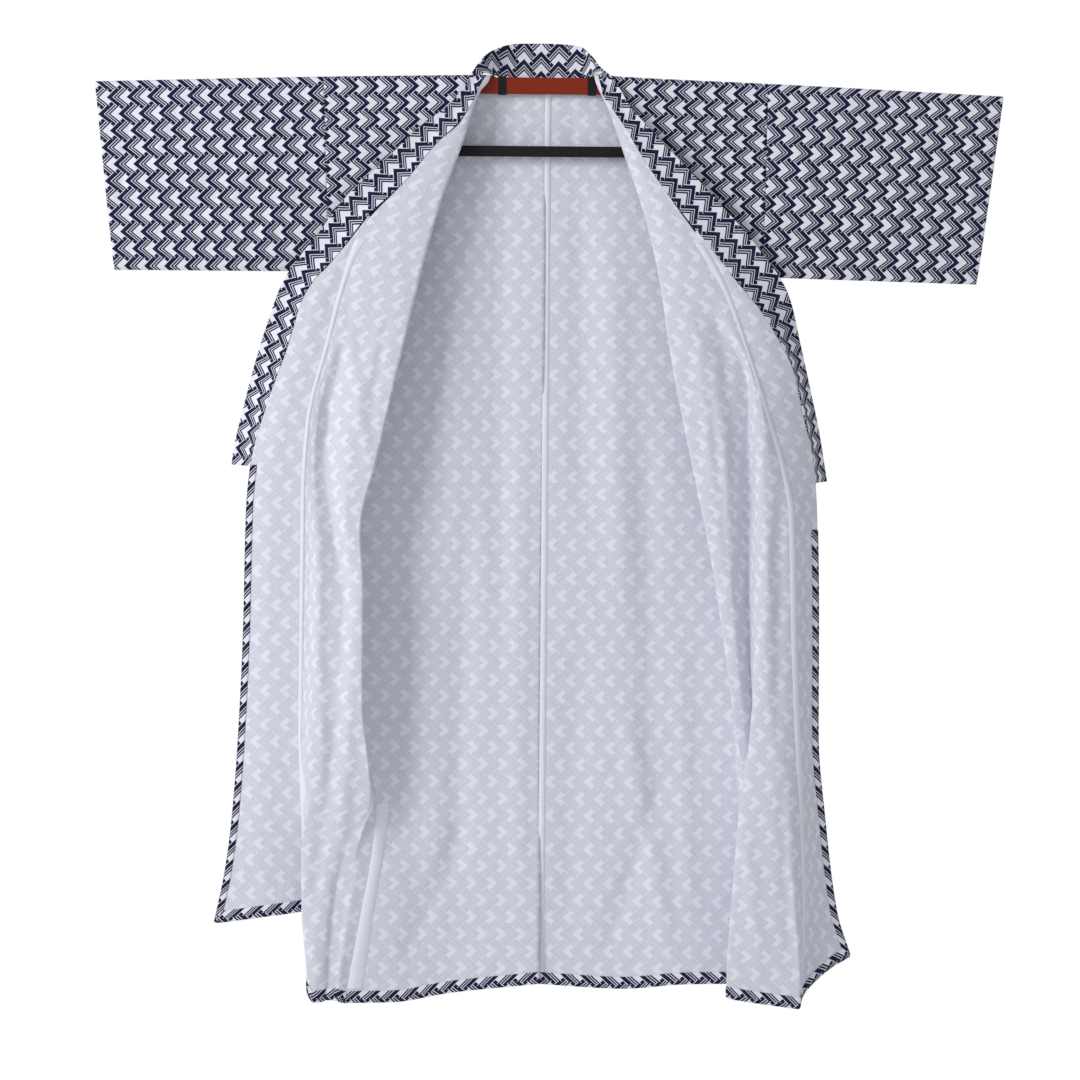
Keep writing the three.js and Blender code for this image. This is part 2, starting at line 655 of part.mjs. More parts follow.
// The collar: a folded band from one end, up the front edge, round the neck and down to the other.
const neckRing = [
  { x: -95, y: -12, z: 19, freeX: -110, freeY: -18, freeZ: 19 },
  { x: -84, y: -1, z: 20, freeX: -97, freeY: -13, freeZ: 38 },
  { x: -74, y: 8.5, z: 17.5, freeX: -77, freeY: 6, freeZ: 55 },
  { x: -46, y: 14, z: 3.5, freeX: -47, freeY: 22, freeZ: 65 },
  { x: 0, y: 16, z: -1.5, freeX: 0, freeY: 26, freeZ: 66 },
  { x: 42, y: 14, z: 3, freeX: 48, freeY: 22, freeZ: 62 },
  { x: 61, y: 9.5, z: 16, freeX: 63, freeY: 8, freeZ: 49 },
  { x: 66, y: 4.2, z: 20.8, freeX: 70, freeY: -1, freeZ: 40 },
  { x: 70, y: -1, z: 20.3, freeX: 77, freeY: -11, freeZ: 29 },
  { x: 80, y: -11, z: 18.5, freeX: 90, freeY: -17, freeZ: 17.5 },
];

function sideRails(side) {
  const rails = [];
  const seamHem = stationValue(side.hem.front, 9);
  for (let j = crestDrops.length - 1; j < okumiFromRow; j += 1) {
    rails.push(edgePair(side, 'front', 9, rowHeight(crestHeight(side), seamHem, j)));
  }
  for (let j = 0; okumiHeight(side, 11, j) > side.collarEnd + 12; j += 1) {
    rails.push(edgePair(side, 'okumi', 11, okumiHeight(side, 11, j)));
  }
  rails.push(edgePair(side, 'okumi', 11, side.collarEnd));
  return rails;
}

// A point of the seam rail and of the free rail beside one point of the robe's edge.
function edgePair(side, part, t, z) {
  const edge = bodyPoint(side, part, t, z);
  const inner = bodyPoint(side, part, t - 0.05, z);
  const offset = side.collar(z);
  const reach = new THREE.Vector3(side.sign * offset.out, offset.back, offset.up);
  const step = reach.clone().normalize().multiplyScalar(collarSeamGap);
  const away = edge.clone().sub(inner).normalize().multiplyScalar(collarSeamGap * 0.5);
  const seam = edge.clone().add(step).add(away);
  return { seam, free: edge.clone().add(reach) };
}

function collar() {
  const down = sideRails(wearerRight).reverse();
  const neck = neckRing.map((row) => ({
    seam: new THREE.Vector3(row.x, row.y, row.z),
    free: new THREE.Vector3(row.freeX, row.freeY, row.freeZ),
  }));
  const rails = [...down, ...neck, ...sideRails(wearerLeft)];
  const rows = rails.length - 1;
  const columns = 3;
  const place = (i, j) => {
    const { seam, free } = rails[j];
    const share = i / columns;
    const point = seam.clone().lerp(free, share);
    const before = rails[Math.max(0, j - 1)];
    const after = rails[Math.min(rows, j + 1)];
    const run = after.seam.clone().sub(before.seam);
    const lift = free.clone().sub(seam).cross(run).normalize();
    return point.addScaledVector(lift, 3.5 * Math.sin(Math.PI * share));
  };
  const normal = (i, j) => {
    const across = place(Math.min(i + 1, columns), j).sub(place(Math.max(i - 1, 0), j));
    const run = place(i, Math.min(j + 1, rows)).sub(place(i, Math.max(j - 1, 0)));
    return across.cross(run).normalize();
  };
  return wall(columns, rows, place, normal, collarWall);
}

// Hanger parts: bars with rounded edges, drawn end on and pushed along X.
function roundedBar(length, depth, height, corner) {
  const shape = new THREE.Shape();
  const y = depth / 2;
  const z = height / 2;
  shape.moveTo(-y + corner, -z);
  shape.lineTo(y - corner, -z);
  shape.absarc(y - corner, -z + corner, corner, -Math.PI / 2, 0, false);
  shape.lineTo(y, z - corner);
  shape.absarc(y - corner, z - corner, corner, 0, Math.PI / 2, false);
  shape.lineTo(-y + corner, z);
  shape.absarc(-y + corner, z - corner, corner, Math.PI / 2, Math.PI, false);
  shape.lineTo(-y, -z + corner);
  shape.absarc(-y + corner, -z + corner, corner, Math.PI, Math.PI * 1.5, false);
  return alongX(shape, length);
}

function alongX(shape, length) {
  const geometry = new THREE.ExtrudeGeometry(shape, { depth: length, bevelEnabled: false, curveSegments: 3 });
  geometry.translate(0, 0, -length / 2);
  geometry.applyMatrix4(new THREE.Matrix4().set(0, 0, 1, 0, 1, 0, 0, 0, 0, 1, 0, 0, 0, 0, 0, 1));
  return geometry;
}

function hangerArm(side) {
  const { start, end, depth, height, corner } = armSize;
  const below = height / 2 + clothWall / 2 + 1.2;
  const from = side.shoulder(start).z - below;
  const to = side.shoulder(end).z - below;
  const run = Math.hypot(end - start, to - from);
  const geometry = roundedBar(run, depth, height, corner);
  geometry.translate(run / 2, 0, 0);
  geometry.rotateY(-Math.atan2(to - from, end - start));
  if (side.sign < 0) {
    geometry.rotateZ(Math.PI);
  }
  geometry.translate(side.sign * start, 0, from);
  return geometry;
}

function band(x) {
  const outerY = barSize.depth / 2 + seamGap + bandSize.wall;
  const outerZ = barSize.height / 2 + seamGap + bandSize.wall;
  const innerY = barSize.depth / 2 + seamGap;
  const innerZ = barSize.height / 2 + seamGap;
  const shape = new THREE.Shape();
  shape.moveTo(-outerY, -outerZ);
  shape.lineTo(outerY, -outerZ);
  shape.lineTo(outerY, outerZ);
  shape.lineTo(-outerY, outerZ);
  const hole = new THREE.Path();
  hole.moveTo(-innerY, -innerZ);
  hole.lineTo(-innerY, innerZ);
  hole.lineTo(innerY, innerZ);
  hole.lineTo(innerY, -innerZ);
  shape.holes.push(hole);
  const geometry = alongX(shape, bandSize.width);
  geometry.translate(x, 0, 0);
  return geometry;
}

function link(side) {
  const top = side.shoulder(linkSize.x).z - clothWall / 2 - 1.2 - armSize.height - 0.8;
  const bottom = obiRodSize.z + obiRodSize.height / 2 + seamGap;
  const geometry = new THREE.BoxGeometry(linkSize.width, linkSize.depth, top - bottom);
  geometry.translate(side.sign * linkSize.x, 0, (top + bottom) / 2);
  return geometry;
}

// Assembly
const group = new THREE.Group();
group.name = 'yukata';

function add(name, geometry, color, roughness) {
  const material = new THREE.MeshStandardMaterial({ color, roughness, name: `${name}_finish` });
  const mesh = new THREE.Mesh(geometry, material);
  mesh.name = name;
  group.add(mesh);
}

const printedCotton = 0x8f93b4;
const plainSide = 0xd6d7de;
const lacquerRed = 0x7a2415;
const blackPlastic = 0x1b1b1d;

add('back_right', backPanel(wearerRight), plainSide, 0.9);
add('back_left', backPanel(wearerLeft), plainSide, 0.9);
add('front_right', frontPanel(wearerRight), plainSide, 0.9);
add('front_left', frontPanel(wearerLeft), plainSide, 0.9);
add('okumi_right', okumiPanel(wearerRight), plainSide, 0.9);
add('okumi_left', okumiPanel(wearerLeft), plainSide, 0.9);
add('sleeve_right', sleeve(wearerRight), printedCotton, 0.9);
add('sleeve_left', sleeve(wearerLeft), printedCotton, 0.9);
add('collar', collar(), printedCotton, 0.9);
add('hanger_bar', roundedBar(barSize.length, barSize.depth, barSize.height, barSize.corner), lacquerRed, 0.4);
add('hanger_arm_right', hangerArm(wearerRight), blackPlastic, 0.5);
add('hanger_arm_left', hangerArm(wearerLeft), blackPlastic, 0.5);
add('hanger_band_right', band(-bandSize.x), blackPlastic, 0.5);
add('hanger_band_left', band(bandSize.x), blackPlastic, 0.5);
const obiRod = roundedBar(obiRodSize.length, obiRodSize.depth, obiRodSize.height, obiRodSize.corner);
obiRod.translate(0, 0, obiRodSize.z);
add('obi_rod', obiRod, blackPlastic, 0.5);
add('obi_rod_link_right', link(wearerRight), blackPlastic, 0.5);
add('obi_rod_link_left', link(wearerLeft), blackPlastic, 0.5);

export default group;
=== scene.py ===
import math
import bpy
import numpy as np
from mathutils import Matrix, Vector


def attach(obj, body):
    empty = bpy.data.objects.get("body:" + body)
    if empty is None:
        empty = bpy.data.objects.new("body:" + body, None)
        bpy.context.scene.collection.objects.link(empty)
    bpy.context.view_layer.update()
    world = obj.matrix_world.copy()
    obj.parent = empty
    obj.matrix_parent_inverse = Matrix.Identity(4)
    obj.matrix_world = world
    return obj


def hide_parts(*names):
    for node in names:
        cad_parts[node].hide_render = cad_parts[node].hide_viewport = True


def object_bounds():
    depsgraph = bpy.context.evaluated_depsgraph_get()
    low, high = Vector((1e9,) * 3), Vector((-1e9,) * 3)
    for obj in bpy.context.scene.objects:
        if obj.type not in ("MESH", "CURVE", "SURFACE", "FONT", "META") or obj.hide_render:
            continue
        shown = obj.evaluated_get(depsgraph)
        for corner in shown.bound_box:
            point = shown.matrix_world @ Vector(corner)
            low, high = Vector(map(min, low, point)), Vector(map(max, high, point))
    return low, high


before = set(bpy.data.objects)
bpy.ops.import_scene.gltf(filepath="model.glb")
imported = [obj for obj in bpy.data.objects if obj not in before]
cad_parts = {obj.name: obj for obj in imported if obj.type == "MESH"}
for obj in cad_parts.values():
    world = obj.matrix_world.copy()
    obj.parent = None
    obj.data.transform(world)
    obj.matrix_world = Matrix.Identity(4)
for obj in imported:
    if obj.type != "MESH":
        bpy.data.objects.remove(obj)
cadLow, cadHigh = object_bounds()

# Cotton yukata on a bar hanger, both fronts turned back inside out.
# Sizes in the tables are millimetres; meshes are written in metres.

# Camera and lights.
viewSet = dict(distance=7.0, lens=156.06, x=-0.0045, z=-0.6788, roll=-0.5)

cameraData = bpy.data.cameras.new("camera")
cameraData.lens = viewSet["lens"]
cameraData.sensor_width = 36
cameraData.clip_end = 60
camera = bpy.data.objects.new("camera", cameraData)
camera.location = (viewSet["x"], -viewSet["distance"], viewSet["z"])
camera.rotation_euler = (math.radians(90), math.radians(viewSet["roll"]), 0)
bpy.context.scene.collection.objects.link(camera)
bpy.context.scene.camera = camera

studio = dict(key=106, fill=8, rim=40, sky=0.51, floorDrop=0.55)


def softBox(name, place, aim, size, watts):
    # a square area light at place, turned to look at aim
    data = bpy.data.lights.new(name, "AREA")
    data.energy = watts
    data.size = size
    lamp = bpy.data.objects.new(name, data)
    lamp.location = place
    away = np.array(place) - np.array(aim)
    lamp.rotation_euler = (
        math.atan2(math.hypot(away[0], away[1]), away[2]),
        0,
        math.atan2(away[1], away[0]) + math.pi / 2,
    )
    bpy.context.scene.collection.objects.link(lamp)


softBox("keyLight", (-3.4, -2.6, 0.9), (0, 0, -0.6), 1.6, studio["key"])
softBox("fillLight", (2.8, -4.2, -0.2), (0, 0, -0.7), 3.0, studio["fill"])
softBox("backLight", (1.5, 3.2, 1.2), (0, 0, -0.6), 2.5, studio["rim"])

world = bpy.data.worlds.new("paleStudio")
bpy.context.scene.world = world
world.use_nodes = True
worldNodes = world.node_tree.nodes
worldLinks = world.node_tree.links
skyLight = worldNodes["Background"]
skyLight.inputs[0].default_value = (0.96, 0.98, 1, 1)
skyLight.inputs[1].default_value = studio["sky"]
skyWhite = worldNodes.new("ShaderNodeBackground")
skyWhite.inputs[0].default_value = (1, 1, 1, 1)
skyRay = worldNodes.new("ShaderNodeLightPath")
skyMix = worldNodes.new("ShaderNodeMixShader")
worldLinks.new(skyRay.outputs["Is Camera Ray"], skyMix.inputs[0])
worldLinks.new(skyLight.outputs[0], skyMix.inputs[1])
worldLinks.new(skyWhite.outputs[0], skyMix.inputs[2])
worldLinks.new(skyMix.outputs[0], worldNodes["World Output"].inputs[0])
bpy.context.scene.view_settings.view_transform = "Standard"
print("camera and light")


# Smooth tables.
def slopesOf(keys, values):
    # slope at a key = harmonic mean of the two chords beside it, or nought where they turn
    chords = np.diff(values, axis=-1) / np.diff(keys)
    before, after = chords[..., :-1], chords[..., 1:]
    turn = before * after <= 0
    total = np.where(turn, 1.0, before + after)
    inner = np.where(turn, 0.0, 2 * before * after / total)
    return np.concatenate([chords[..., :1], inner, chords[..., -1:]], axis=-1)


def smoothAt(keys, values, at):
    # monotone cubic: values (n) or (N, n) at the keys, read at each of the N places
    keys = np.asarray(keys, float)
    values = np.asarray(values, float)
    slopes = slopesOf(keys, values)
    at = np.clip(at, keys[0], keys[-1])
    i = np.clip(np.searchsorted(keys, at, side="right") - 1, 0, len(keys) - 2)
    span = keys[i + 1] - keys[i]
    t = (at - keys[i]) / span
    if values.ndim == 1:
        a, b, sa, sb = values[i], values[i + 1], slopes[i], slopes[i + 1]
    else:
        row = np.arange(len(at))
        a, b, sa, sb = values[row, i], values[row, i + 1], slopes[row, i], slopes[row, i + 1]
    t2, t3 = t * t, t * t * t
    start = (2 * t3 - 3 * t2 + 1) * a + (t3 - 2 * t2 + t) * span * sa
    return start + (3 * t2 - 2 * t3) * b + (t3 - t2) * span * sb


def table(names, rows):
    # rows of numbers, the first column being the key; gives a function from key to a dict of columns
    names = names.split()
    grid = np.array(sorted(rows), float)
    return lambda key: {n: smoothAt(grid[:, 0], grid[:, k + 1], key) for k, n in enumerate(names[1:])}


# The two sides of the robe.
# out: distance from the centre line. depth: Y, minus is toward the front. One row for each height.
rightSide = dict(
    sign=-1,
    neckOut=79,
    shoulder=table("out z", [(79, 16), (333, 11), (675, 1)]),
    armhole=dict(top=334, bottom=322, underarm=-280),
    cuff=dict(top=675, bottom=644, hem=-280),
    sideSeam=table("z out depth", [
        (-280, 322, 2), (-380, 312, 11), (-560, 300, 15), (-760, 290, 15), (-900, 281, 11),
        (-1010, 262, 2), (-1077, 246, -7), (-1159, 253, -8), (-1227, 265, -9), (-1380, 292, -9)]),
    backMiddle=table("z out depth", [
        (16, 118, 8.6), (8, 118, 8.6), (-60, 120, 15), (-420, 125, 21), (-900, 128, 24), (-1380, 130, 16)]),
    backOuter=table("z out depth", [
        (16, 225, 8.6), (8, 225, 8.6), (-60, 225, 14), (-420, 222, 24), (-900, 205, 27),
        (-1040, 205, 20), (-1200, 216, -1), (-1380, 218, 4)]),
    hidden=table("z out depth", [
        (16, 256, -8.2), (8, 256, -8.2), (-60, 246, -10.5), (-170, 246, -12), (-278, 262, -10),
        (-380, 290, -5), (-560, 328, -3), (-760, 322, -4), (-920, 298, -10), (-1010, 278, -12),
        (-1077, 259, -13), (-1227, 284, -15), (-1380, 304, -17)]),
    ridge=table("z out depth roll spread", [
        (16, 84, -10, 0.8, 0.6), (6, 87, -11.5, 1.5, 0), (-11, 100, -16, 2.5, 0), (-88, 125, -25, 5, 0),
        (-199, 163, -33, 6, 0), (-391, 210, -42, 6, 0), (-560, 248, -46, 6, 0), (-666, 271, -48, 6, 0),
        (-756, 266, -50, 6, 0), (-920, 266, -48, 5, 0), (-1010, 257, -38, 4, 0), (-1070, 252, -27, 2, 3),
        (-1120, 275, -19, 0, 7), (-1227, 300, -14, 0, 7), (-1380, 314, -16, 0, 5)]),
    frontEdge=table("z out depth", [
        (16, 90, -13), (-11, 105, -22), (-58, 129, -31), (-88, 162, -35), (-142, 205, -40),
        (-227, 279, -42), (-296, 303, -42), (-395, 328, -40), (-505, 354, -38), (-622, 361, -37),
        (-951, 362, -30), (-1060, 358, -18), (-1138, 356, -3), (-1228, 353, 9), (-1380, 353, 12)]),
    softFolds=table("z s1 l1 s2 l2 s3 l3 s4 l4", [
        (15, 0.2, 0, 0.4, 0, 0.6, 0, 0.8, 0), (-300, 0.25, -3, 0.5, -4, 0.7, -3, 0.86, -1),
        (-440, 0.33, -4, 0.75, 4, 0.87, 0, 0.94, 0), (-549, 0.35, -5, 0.73, 9, 0.86, 1, 0.93, 0),
        (-683, 0.2, -3, 0.45, 9, 0.7, -2, 0.86, 0), (-762, 0.17, 0, 0.34, 6, 0.66, -4, 0.85, 0),
        (-900, 0.2, -1, 0.42, 0, 0.7, -6, 0.88, -2), (-1060, 0.25, -3, 0.5, -7, 0.84, -10, 0.97, -3),
        (-1138, 0.35, -9, 0.7, -15, 1.0, -17, 0.86, -4), (-1228, 0.32, -14, 0.7, -26, 1.04, -29, 0.62, -2),
        (-1347, 0.25, -12, 0.55, -25, 0.82, -30, 0.5, -1), (-1380, 0.25, -12, 0.55, -25, 0.8, -30, 0.5, -1)]),
    outerEdge=table("z out depth", [
        (-200, 264, -42), (-232, 288, -42), (-265, 315, -42), (-319, 358, -41), (-395, 382, -37),
        (-479, 412, -32), (-563, 435, -29), (-640, 442, -27), (-817, 445, -24), (-982, 452, -16),
        (-1101, 461, -5), (-1178, 471, 3), (-1256, 487, 8)]),
    okumiRise=3,
    collarEnd=-572,
    collar=table("z out up back", [
        (-11, 14, 15, 4), (-88, 25, 26, 7), (-142, 32, 30, 8), (-227, 30, 31, 9), (-288, 33, 31, 10),
        (-319, 36, 14, 16), (-395, 39, 12, 26), (-506, 32, 7, 32), (-566, 30, 2, 33)]),
    hem=dict(
        back=[-1343, -1357, -1371, -1372],
        front=[-1372, -1368, -1367, -1367, -1367, -1369, -1370, -1354, -1290, -1236],
        okumi=[-1236, -1246, -1256]),
)
leftSide = dict(
    sign=1,
    neckOut=66,
    shoulder=table("out z", [(66, 18.5), (112, 14.8), (330, 6), (682, -10)]),
    armhole=dict(top=331, bottom=325, underarm=-283),
    cuff=dict(top=682, bottom=644, hem=-291),
    sideSeam=table("z out depth", [
        (-283, 325, 2), (-380, 318, 10), (-560, 306, 16), (-760, 292, 19), (-969, 291, 20),
        (-1078, 294, 20), (-1380, 301, 20)]),
    backMiddle=table("z out depth", [
        (16, 112, 8.6), (8, 112, 8.6), (-60, 115, 15), (-420, 118, 22), (-900, 120, 20), (-1380, 122, 26)]),
    backOuter=table("z out depth", [
        (16, 222, 8.6), (8, 222, 8.6), (-60, 222, 14), (-420, 218, 22), (-900, 215, 26), (-1380, 215, 16)]),
    hidden=table("z out depth", [
        (18, 252, -8.2), (7, 252, -8.2), (-60, 240, -10), (-170, 242, -11), (-278, 256, -8),
        (-380, 262, -3), (-560, 274, 2), (-760, 278, 9), (-969, 291.5, 13), (-1078, 303, 17),
        (-1380, 309, 16)]),
    ridge=table("z out depth roll spread", [
        (18, 70, -10, 0.8, 0.6), (6, 73, -11.5, 1.5, 0), (-34, 92, -17, 3, 0), (-102, 116, -23, 4.5, 0),
        (-195, 147, -28, 5, 0), (-280, 168, -30, 5, 0), (-405, 188, -28, 5, 0), (-570, 222, -23, 5, 0),
        (-706, 251, -15, 5, 0), (-868, 277, -5, 4, 0), (-969, 292, 3, 2, 0), (-1078, 311, 12, 0, 3),
        (-1380, 317, 13, 0, 3)]),
    frontEdge=table("z out depth", [
        (18, 76, -13), (-11, 84, -21), (-34, 98, -27), (-54, 112, -31), (-116, 149, -38), (-182, 194, -42),
        (-240, 236, -42), (-288, 264, -40), (-346, 288, -38), (-408, 309, -36), (-477, 332, -33),
        (-571, 361, -30), (-640, 374, -30), (-837, 380, -30), (-1100, 392, -26), (-1231, 396, -22),
        (-1380, 390, -20)]),
    softFolds=table("z s1 l1 s2 l2 s3 l3 s4 l4", [
        (15, 0.2, 0, 0.4, 0, 0.6, 0, 0.8, 0), (-300, 0.25, -5, 0.5, -6, 0.75, -4, 0.88, -2),
        (-425, 0.42, -8, 0.86, 9, 0.93, -4, 0.965, -3), (-545, 0.35, -8, 0.63, 18, 0.73, -10, 0.84, -13),
        (-700, 0.2, -5, 0.44, 22, 0.54, -14, 0.67, -17), (-837, 0.15, -2, 0.35, 20, 0.42, -20, 0.56, -26),
        (-969, 0.12, 3, 0.28, 15, 0.19, -32, 0.54, -31), (-1078, 0.08, 3, 0.16, 6, -0.19, -59, 0.58, -39),
        (-1232, 0.07, 2, 0.12, 0, -0.38, -69, 0.76, -38), (-1350, 0.07, 1, 0.11, 0, -0.5, -74, 0.93, -30),
        (-1380, 0.07, 1, 0.11, 0, -0.5, -74, 0.93, -30)]),
    outerEdge=table("z out depth", [
        (-214, 221, -42), (-232, 240, -42), (-283, 277, -40), (-330, 317, -35), (-365, 341, -29),
        (-423, 371, -18), (-486, 386, -8), (-571, 405, 0), (-648, 410, 5), (-793, 413, 9), (-968, 414, 10),
        (-1100, 426, 10), (-1231, 444, 8), (-1297, 465, 4)]),
    okumiRise=3,
    collarEnd=-590,
    collar=table("z out up back", [
        (-11, 16, 14, 4), (-54, 19, 17, 4), (-116, 29, 27, 4), (-182, 37, 34, 5), (-252, 41, 37, 7),
        (-290, 41, 40, 11), (-330, 43, 26, 18), (-365, 35, 11, 30), (-423, 20, 4, 44), (-572, 19, 3, 45)]),
    hem=dict(
        back=[-1344, -1350, -1342, -1340],
        front=[-1340, -1345, -1350, -1350, -1350, -1350, -1352, -1356, -1371, -1362],
        okumi=[-1362, -1318, -1297]),
)

tubeDepth = table("drop depth", [
    (0, 8.6), (0.03, 8.8), (0.2, 12), (0.5, 14.5), (0.78, 13.5), (0.92, 9.5), (0.98, 5), (1, 0.95)])
crestTurn = table("drop share", [(0, 0.12), (1.2, 0.62), (3.6, 0.87), (8, 1)])
crestDrops = [0, 1.2, 3.6, 8, 18]
bodyRows = 25
nape = dict(drop=21, power=0.45)
shoulderFade = 160
okumiFromRow = 8


def mix(a, b, t):
    # a at nought, b at one, straight between
    return a + (b - a) * t


def armholePoint(side, z, face):
    # above the underarm the edge follows the sleeve's end, below it the side seam
    hole = side["armhole"]
    crest = side["shoulder"](np.array([hole["top"]]))["z"][0]
    drop = np.clip((crest - z) / (crest - hole["underarm"]), 0, 1)
    blend = np.clip((drop - 0.9) / 0.1, 0, 1) ** 2
    seam = side["sideSeam"](z)
    above = z > hole["underarm"]
    out = np.where(above, mix(hole["top"], hole["bottom"], drop), seam["out"])
    depth = np.where(above, mix(face * tubeDepth(drop)["depth"], seam["depth"], blend), seam["depth"])
    return out, depth


def backStations(side, z):
    # centre seam, middle, outer part and side seam, each with its out and depth at z
    middle, outer = side["backMiddle"](z), side["backOuter"](z)
    seamOut, seamDepth = armholePoint(side, z, 1)
    outs = np.stack([0 * z, middle["out"], outer["out"], seamOut], 1)
    depths = np.stack([middle["depth"] + 1.5, middle["depth"], outer["depth"], seamDepth], 1)
    return outs, depths


def frontStations(side, z):
    # side seam, hidden layer, three round the ridge, four soft folds each at a share of the way
    # from ridge to edge, then the edge
    edge, ridge, folds, hidden = (side[k](z) for k in ("frontEdge", "ridge", "softFolds", "hidden"))
    seamOut, seamDepth = armholePoint(side, z, -1)
    rollOut = ridge["out"] + 0.4 * ridge["roll"]
    outs = [seamOut, hidden["out"], rollOut - ridge["spread"], ridge["out"], rollOut + ridge["spread"]]
    depths = [seamDepth, hidden["depth"]]
    depths += [ridge["depth"] + ridge["roll"], ridge["depth"], ridge["depth"] - ridge["roll"]]
    for n in "1234":
        share = folds["s" + n]
        outs.append(mix(ridge["out"], edge["out"], share))
        lean = ridge["roll"] * (1 - np.minimum(1, np.abs(share)))
        depths.append(mix(ridge["depth"], edge["depth"], share) + folds["l" + n] - lean)
    return np.stack(outs + [edge["out"]], 1), np.stack(depths + [edge["depth"]], 1)


def okumiStations(side, z):
    # halfway to the outer edge, bowed forward by a twentieth of the width, then the outer edge itself
    seam, edge = side["frontEdge"](z), side["outerEdge"](z)
    outs = np.stack([mix(seam["out"], edge["out"], 0.5), edge["out"]], 1)
    middle = mix(seam["depth"], edge["depth"], 0.5) - 0.05 * np.abs(edge["out"] - seam["out"])
    return outs, np.stack([middle, edge["depth"]], 1)


def sectionPoint(stations, t):
    # smooth curve through the stations of one height, read at station number t
    outs, depths = stations
    keys = np.arange(outs.shape[1])
    return smoothAt(keys, outs, t), smoothAt(keys, depths, t)


def joinStations(*parts):
    # the stations of several parts, one after another
    return np.concatenate([p[0] for p in parts], 1), np.concatenate([p[1] for p in parts], 1)


def without(stations, count):
    # the stations after the first few
    return stations[0][:, count:], stations[1][:, count:]


def crestHeight(side):
    # the shoulder line's height where the neck begins
    return side["shoulder"](np.array([side["neckOut"]]))["z"][0]


def stationValue(values, t):
    # one value for each whole station, smooth between them
    return smoothAt(np.arange(len(values)), np.array(values, float), t)


def bodyPoint(side, part, t, z):
    # section at height z read at station t, as a place: -3 centre seam, 0 side seam, 3 ridge,
    # 9 front seam, 11 outer edge; lowered where the shoulder slopes down outward
    t, z = np.broadcast_arrays(np.asarray(t, float), np.asarray(z, float))
    shape = t.shape
    t, z = t.ravel(), z.ravel()
    back, front = backStations(side, z), frontStations(side, z)
    okumi = okumiStations(side, z)
    whole = joinStations(back, without(front, 1), okumi)
    noOkumi = joinStations(back, without(front, 1))
    wholeOut, wholeDepth = sectionPoint(whole, t + 3)
    shortOut, shortDepth = sectionPoint(noOkumi, t + 3)
    low = z < rowHeight(crestHeight(side), stationValue(side["hem"]["front"], 9.0), okumiFromRow) + 12
    out, depth = np.where(low, wholeOut, shortOut), np.where(low, wholeDepth, shortDepth)
    above = z > side["armhole"]["underarm"]
    if part == "back":
        aloneOut, aloneDepth = sectionPoint(back, t + 3)
    else:
        aloneOut, aloneDepth = sectionPoint(front, t)
        withOut, withDepth = sectionPoint(joinStations(front, okumi), t)
        aloneOut, aloneDepth = np.where(low, withOut, aloneOut), np.where(low, withDepth, aloneDepth)
    out, depth = np.where(above, aloneOut, out), np.where(above, aloneDepth, depth)
    depth = depth * crestTurn(crestHeight(side) - z)["share"]
    fade = np.clip(1 + z / shoulderFade, 0, 1)
    fall = crestHeight(side) - side["shoulder"](np.maximum(out, side["neckOut"]))["z"]
    point = np.stack([side["sign"] * out, depth, z - fall * fade], 1)
    return point.reshape(shape + (3,))


def rowHeight(top, hem, j):
    # rows close together where the cloth turns over the bar, then spaced as the power 1.1 of the share
    close = len(crestDrops) - 1
    j = np.asarray(j, float)
    near = top - np.interp(j, range(close + 1), crestDrops)
    share = np.clip((j - close) / (bodyRows - close), 0, 1) ** 1.1
    return np.where(j <= close, near, mix(top - crestDrops[close], hem, share))


def backTop(side, t):
    # the shoulder crest, dipping to the nape inside the neck
    out = sectionPoint(backStations(side, np.full(len(t), -20.0)), t + 3)[0]
    inward = np.clip((side["neckOut"] - out) / side["neckOut"], 0, 1)
    return crestHeight(side) - nape["drop"] * inward ** nape["power"]


def okumiHeight(side, t, j):
    # the front's row heights as a share of its seam, laid between the okumi's own top and hem
    seamHem = stationValue(side["hem"]["front"], 9.0)
    seamTop = rowHeight(crestHeight(side), seamHem, okumiFromRow)
    seamZ = rowHeight(crestHeight(side), seamHem, okumiFromRow + np.asarray(j, float))
    share = (seamZ - seamTop) / (seamHem - seamTop)
    top = seamTop + side["okumiRise"] * (t - 9) / 2
    return mix(top, stationValue(side["hem"]["okumi"], t - 9), share)


# Creases, each laid along its own line.
creaseScale = 1.4


def creaseLift(a, b, creases):
    # sum of soft ridges (+) and troughs (-), each its depth times exp of minus the square of
    # distance from its line over width, fading at the ends
    lift = np.zeros(np.broadcast(a, b).shape)
    for a0, b0, a1, b1, width, depth in creases:
        length = math.hypot(a1 - a0, b1 - b0)
        run = ((a - a0) * (a1 - a0) + (b - b0) * (b1 - b0)) / length ** 2
        off = ((a - a0) * (b1 - b0) - (b - b0) * (a1 - a0)) / length
        ends = np.clip(4 * run, 0, 1) * np.clip(4 * (1 - run), 0, 1)
        lift = lift + creaseScale * depth * np.exp(-((off / width) ** 2)) * ends * ends * (3 - 2 * ends)
    return lift


def gridNormals(p):
    # the step across crossed with the step down, made one long
    across = np.gradient(p, axis=1)
    down = np.gradient(p, axis=0)
    n = np.cross(across, down)
    return n / np.maximum(np.linalg.norm(n, axis=2, keepdims=True), 1e-9)


def arcAcross(p):
    # length along each row, summed from its first place
    steps = np.linalg.norm(np.diff(p, axis=1), axis=2)
    return np.concatenate([np.zeros((p.shape[0], 1)), np.cumsum(steps, 1)], 1)


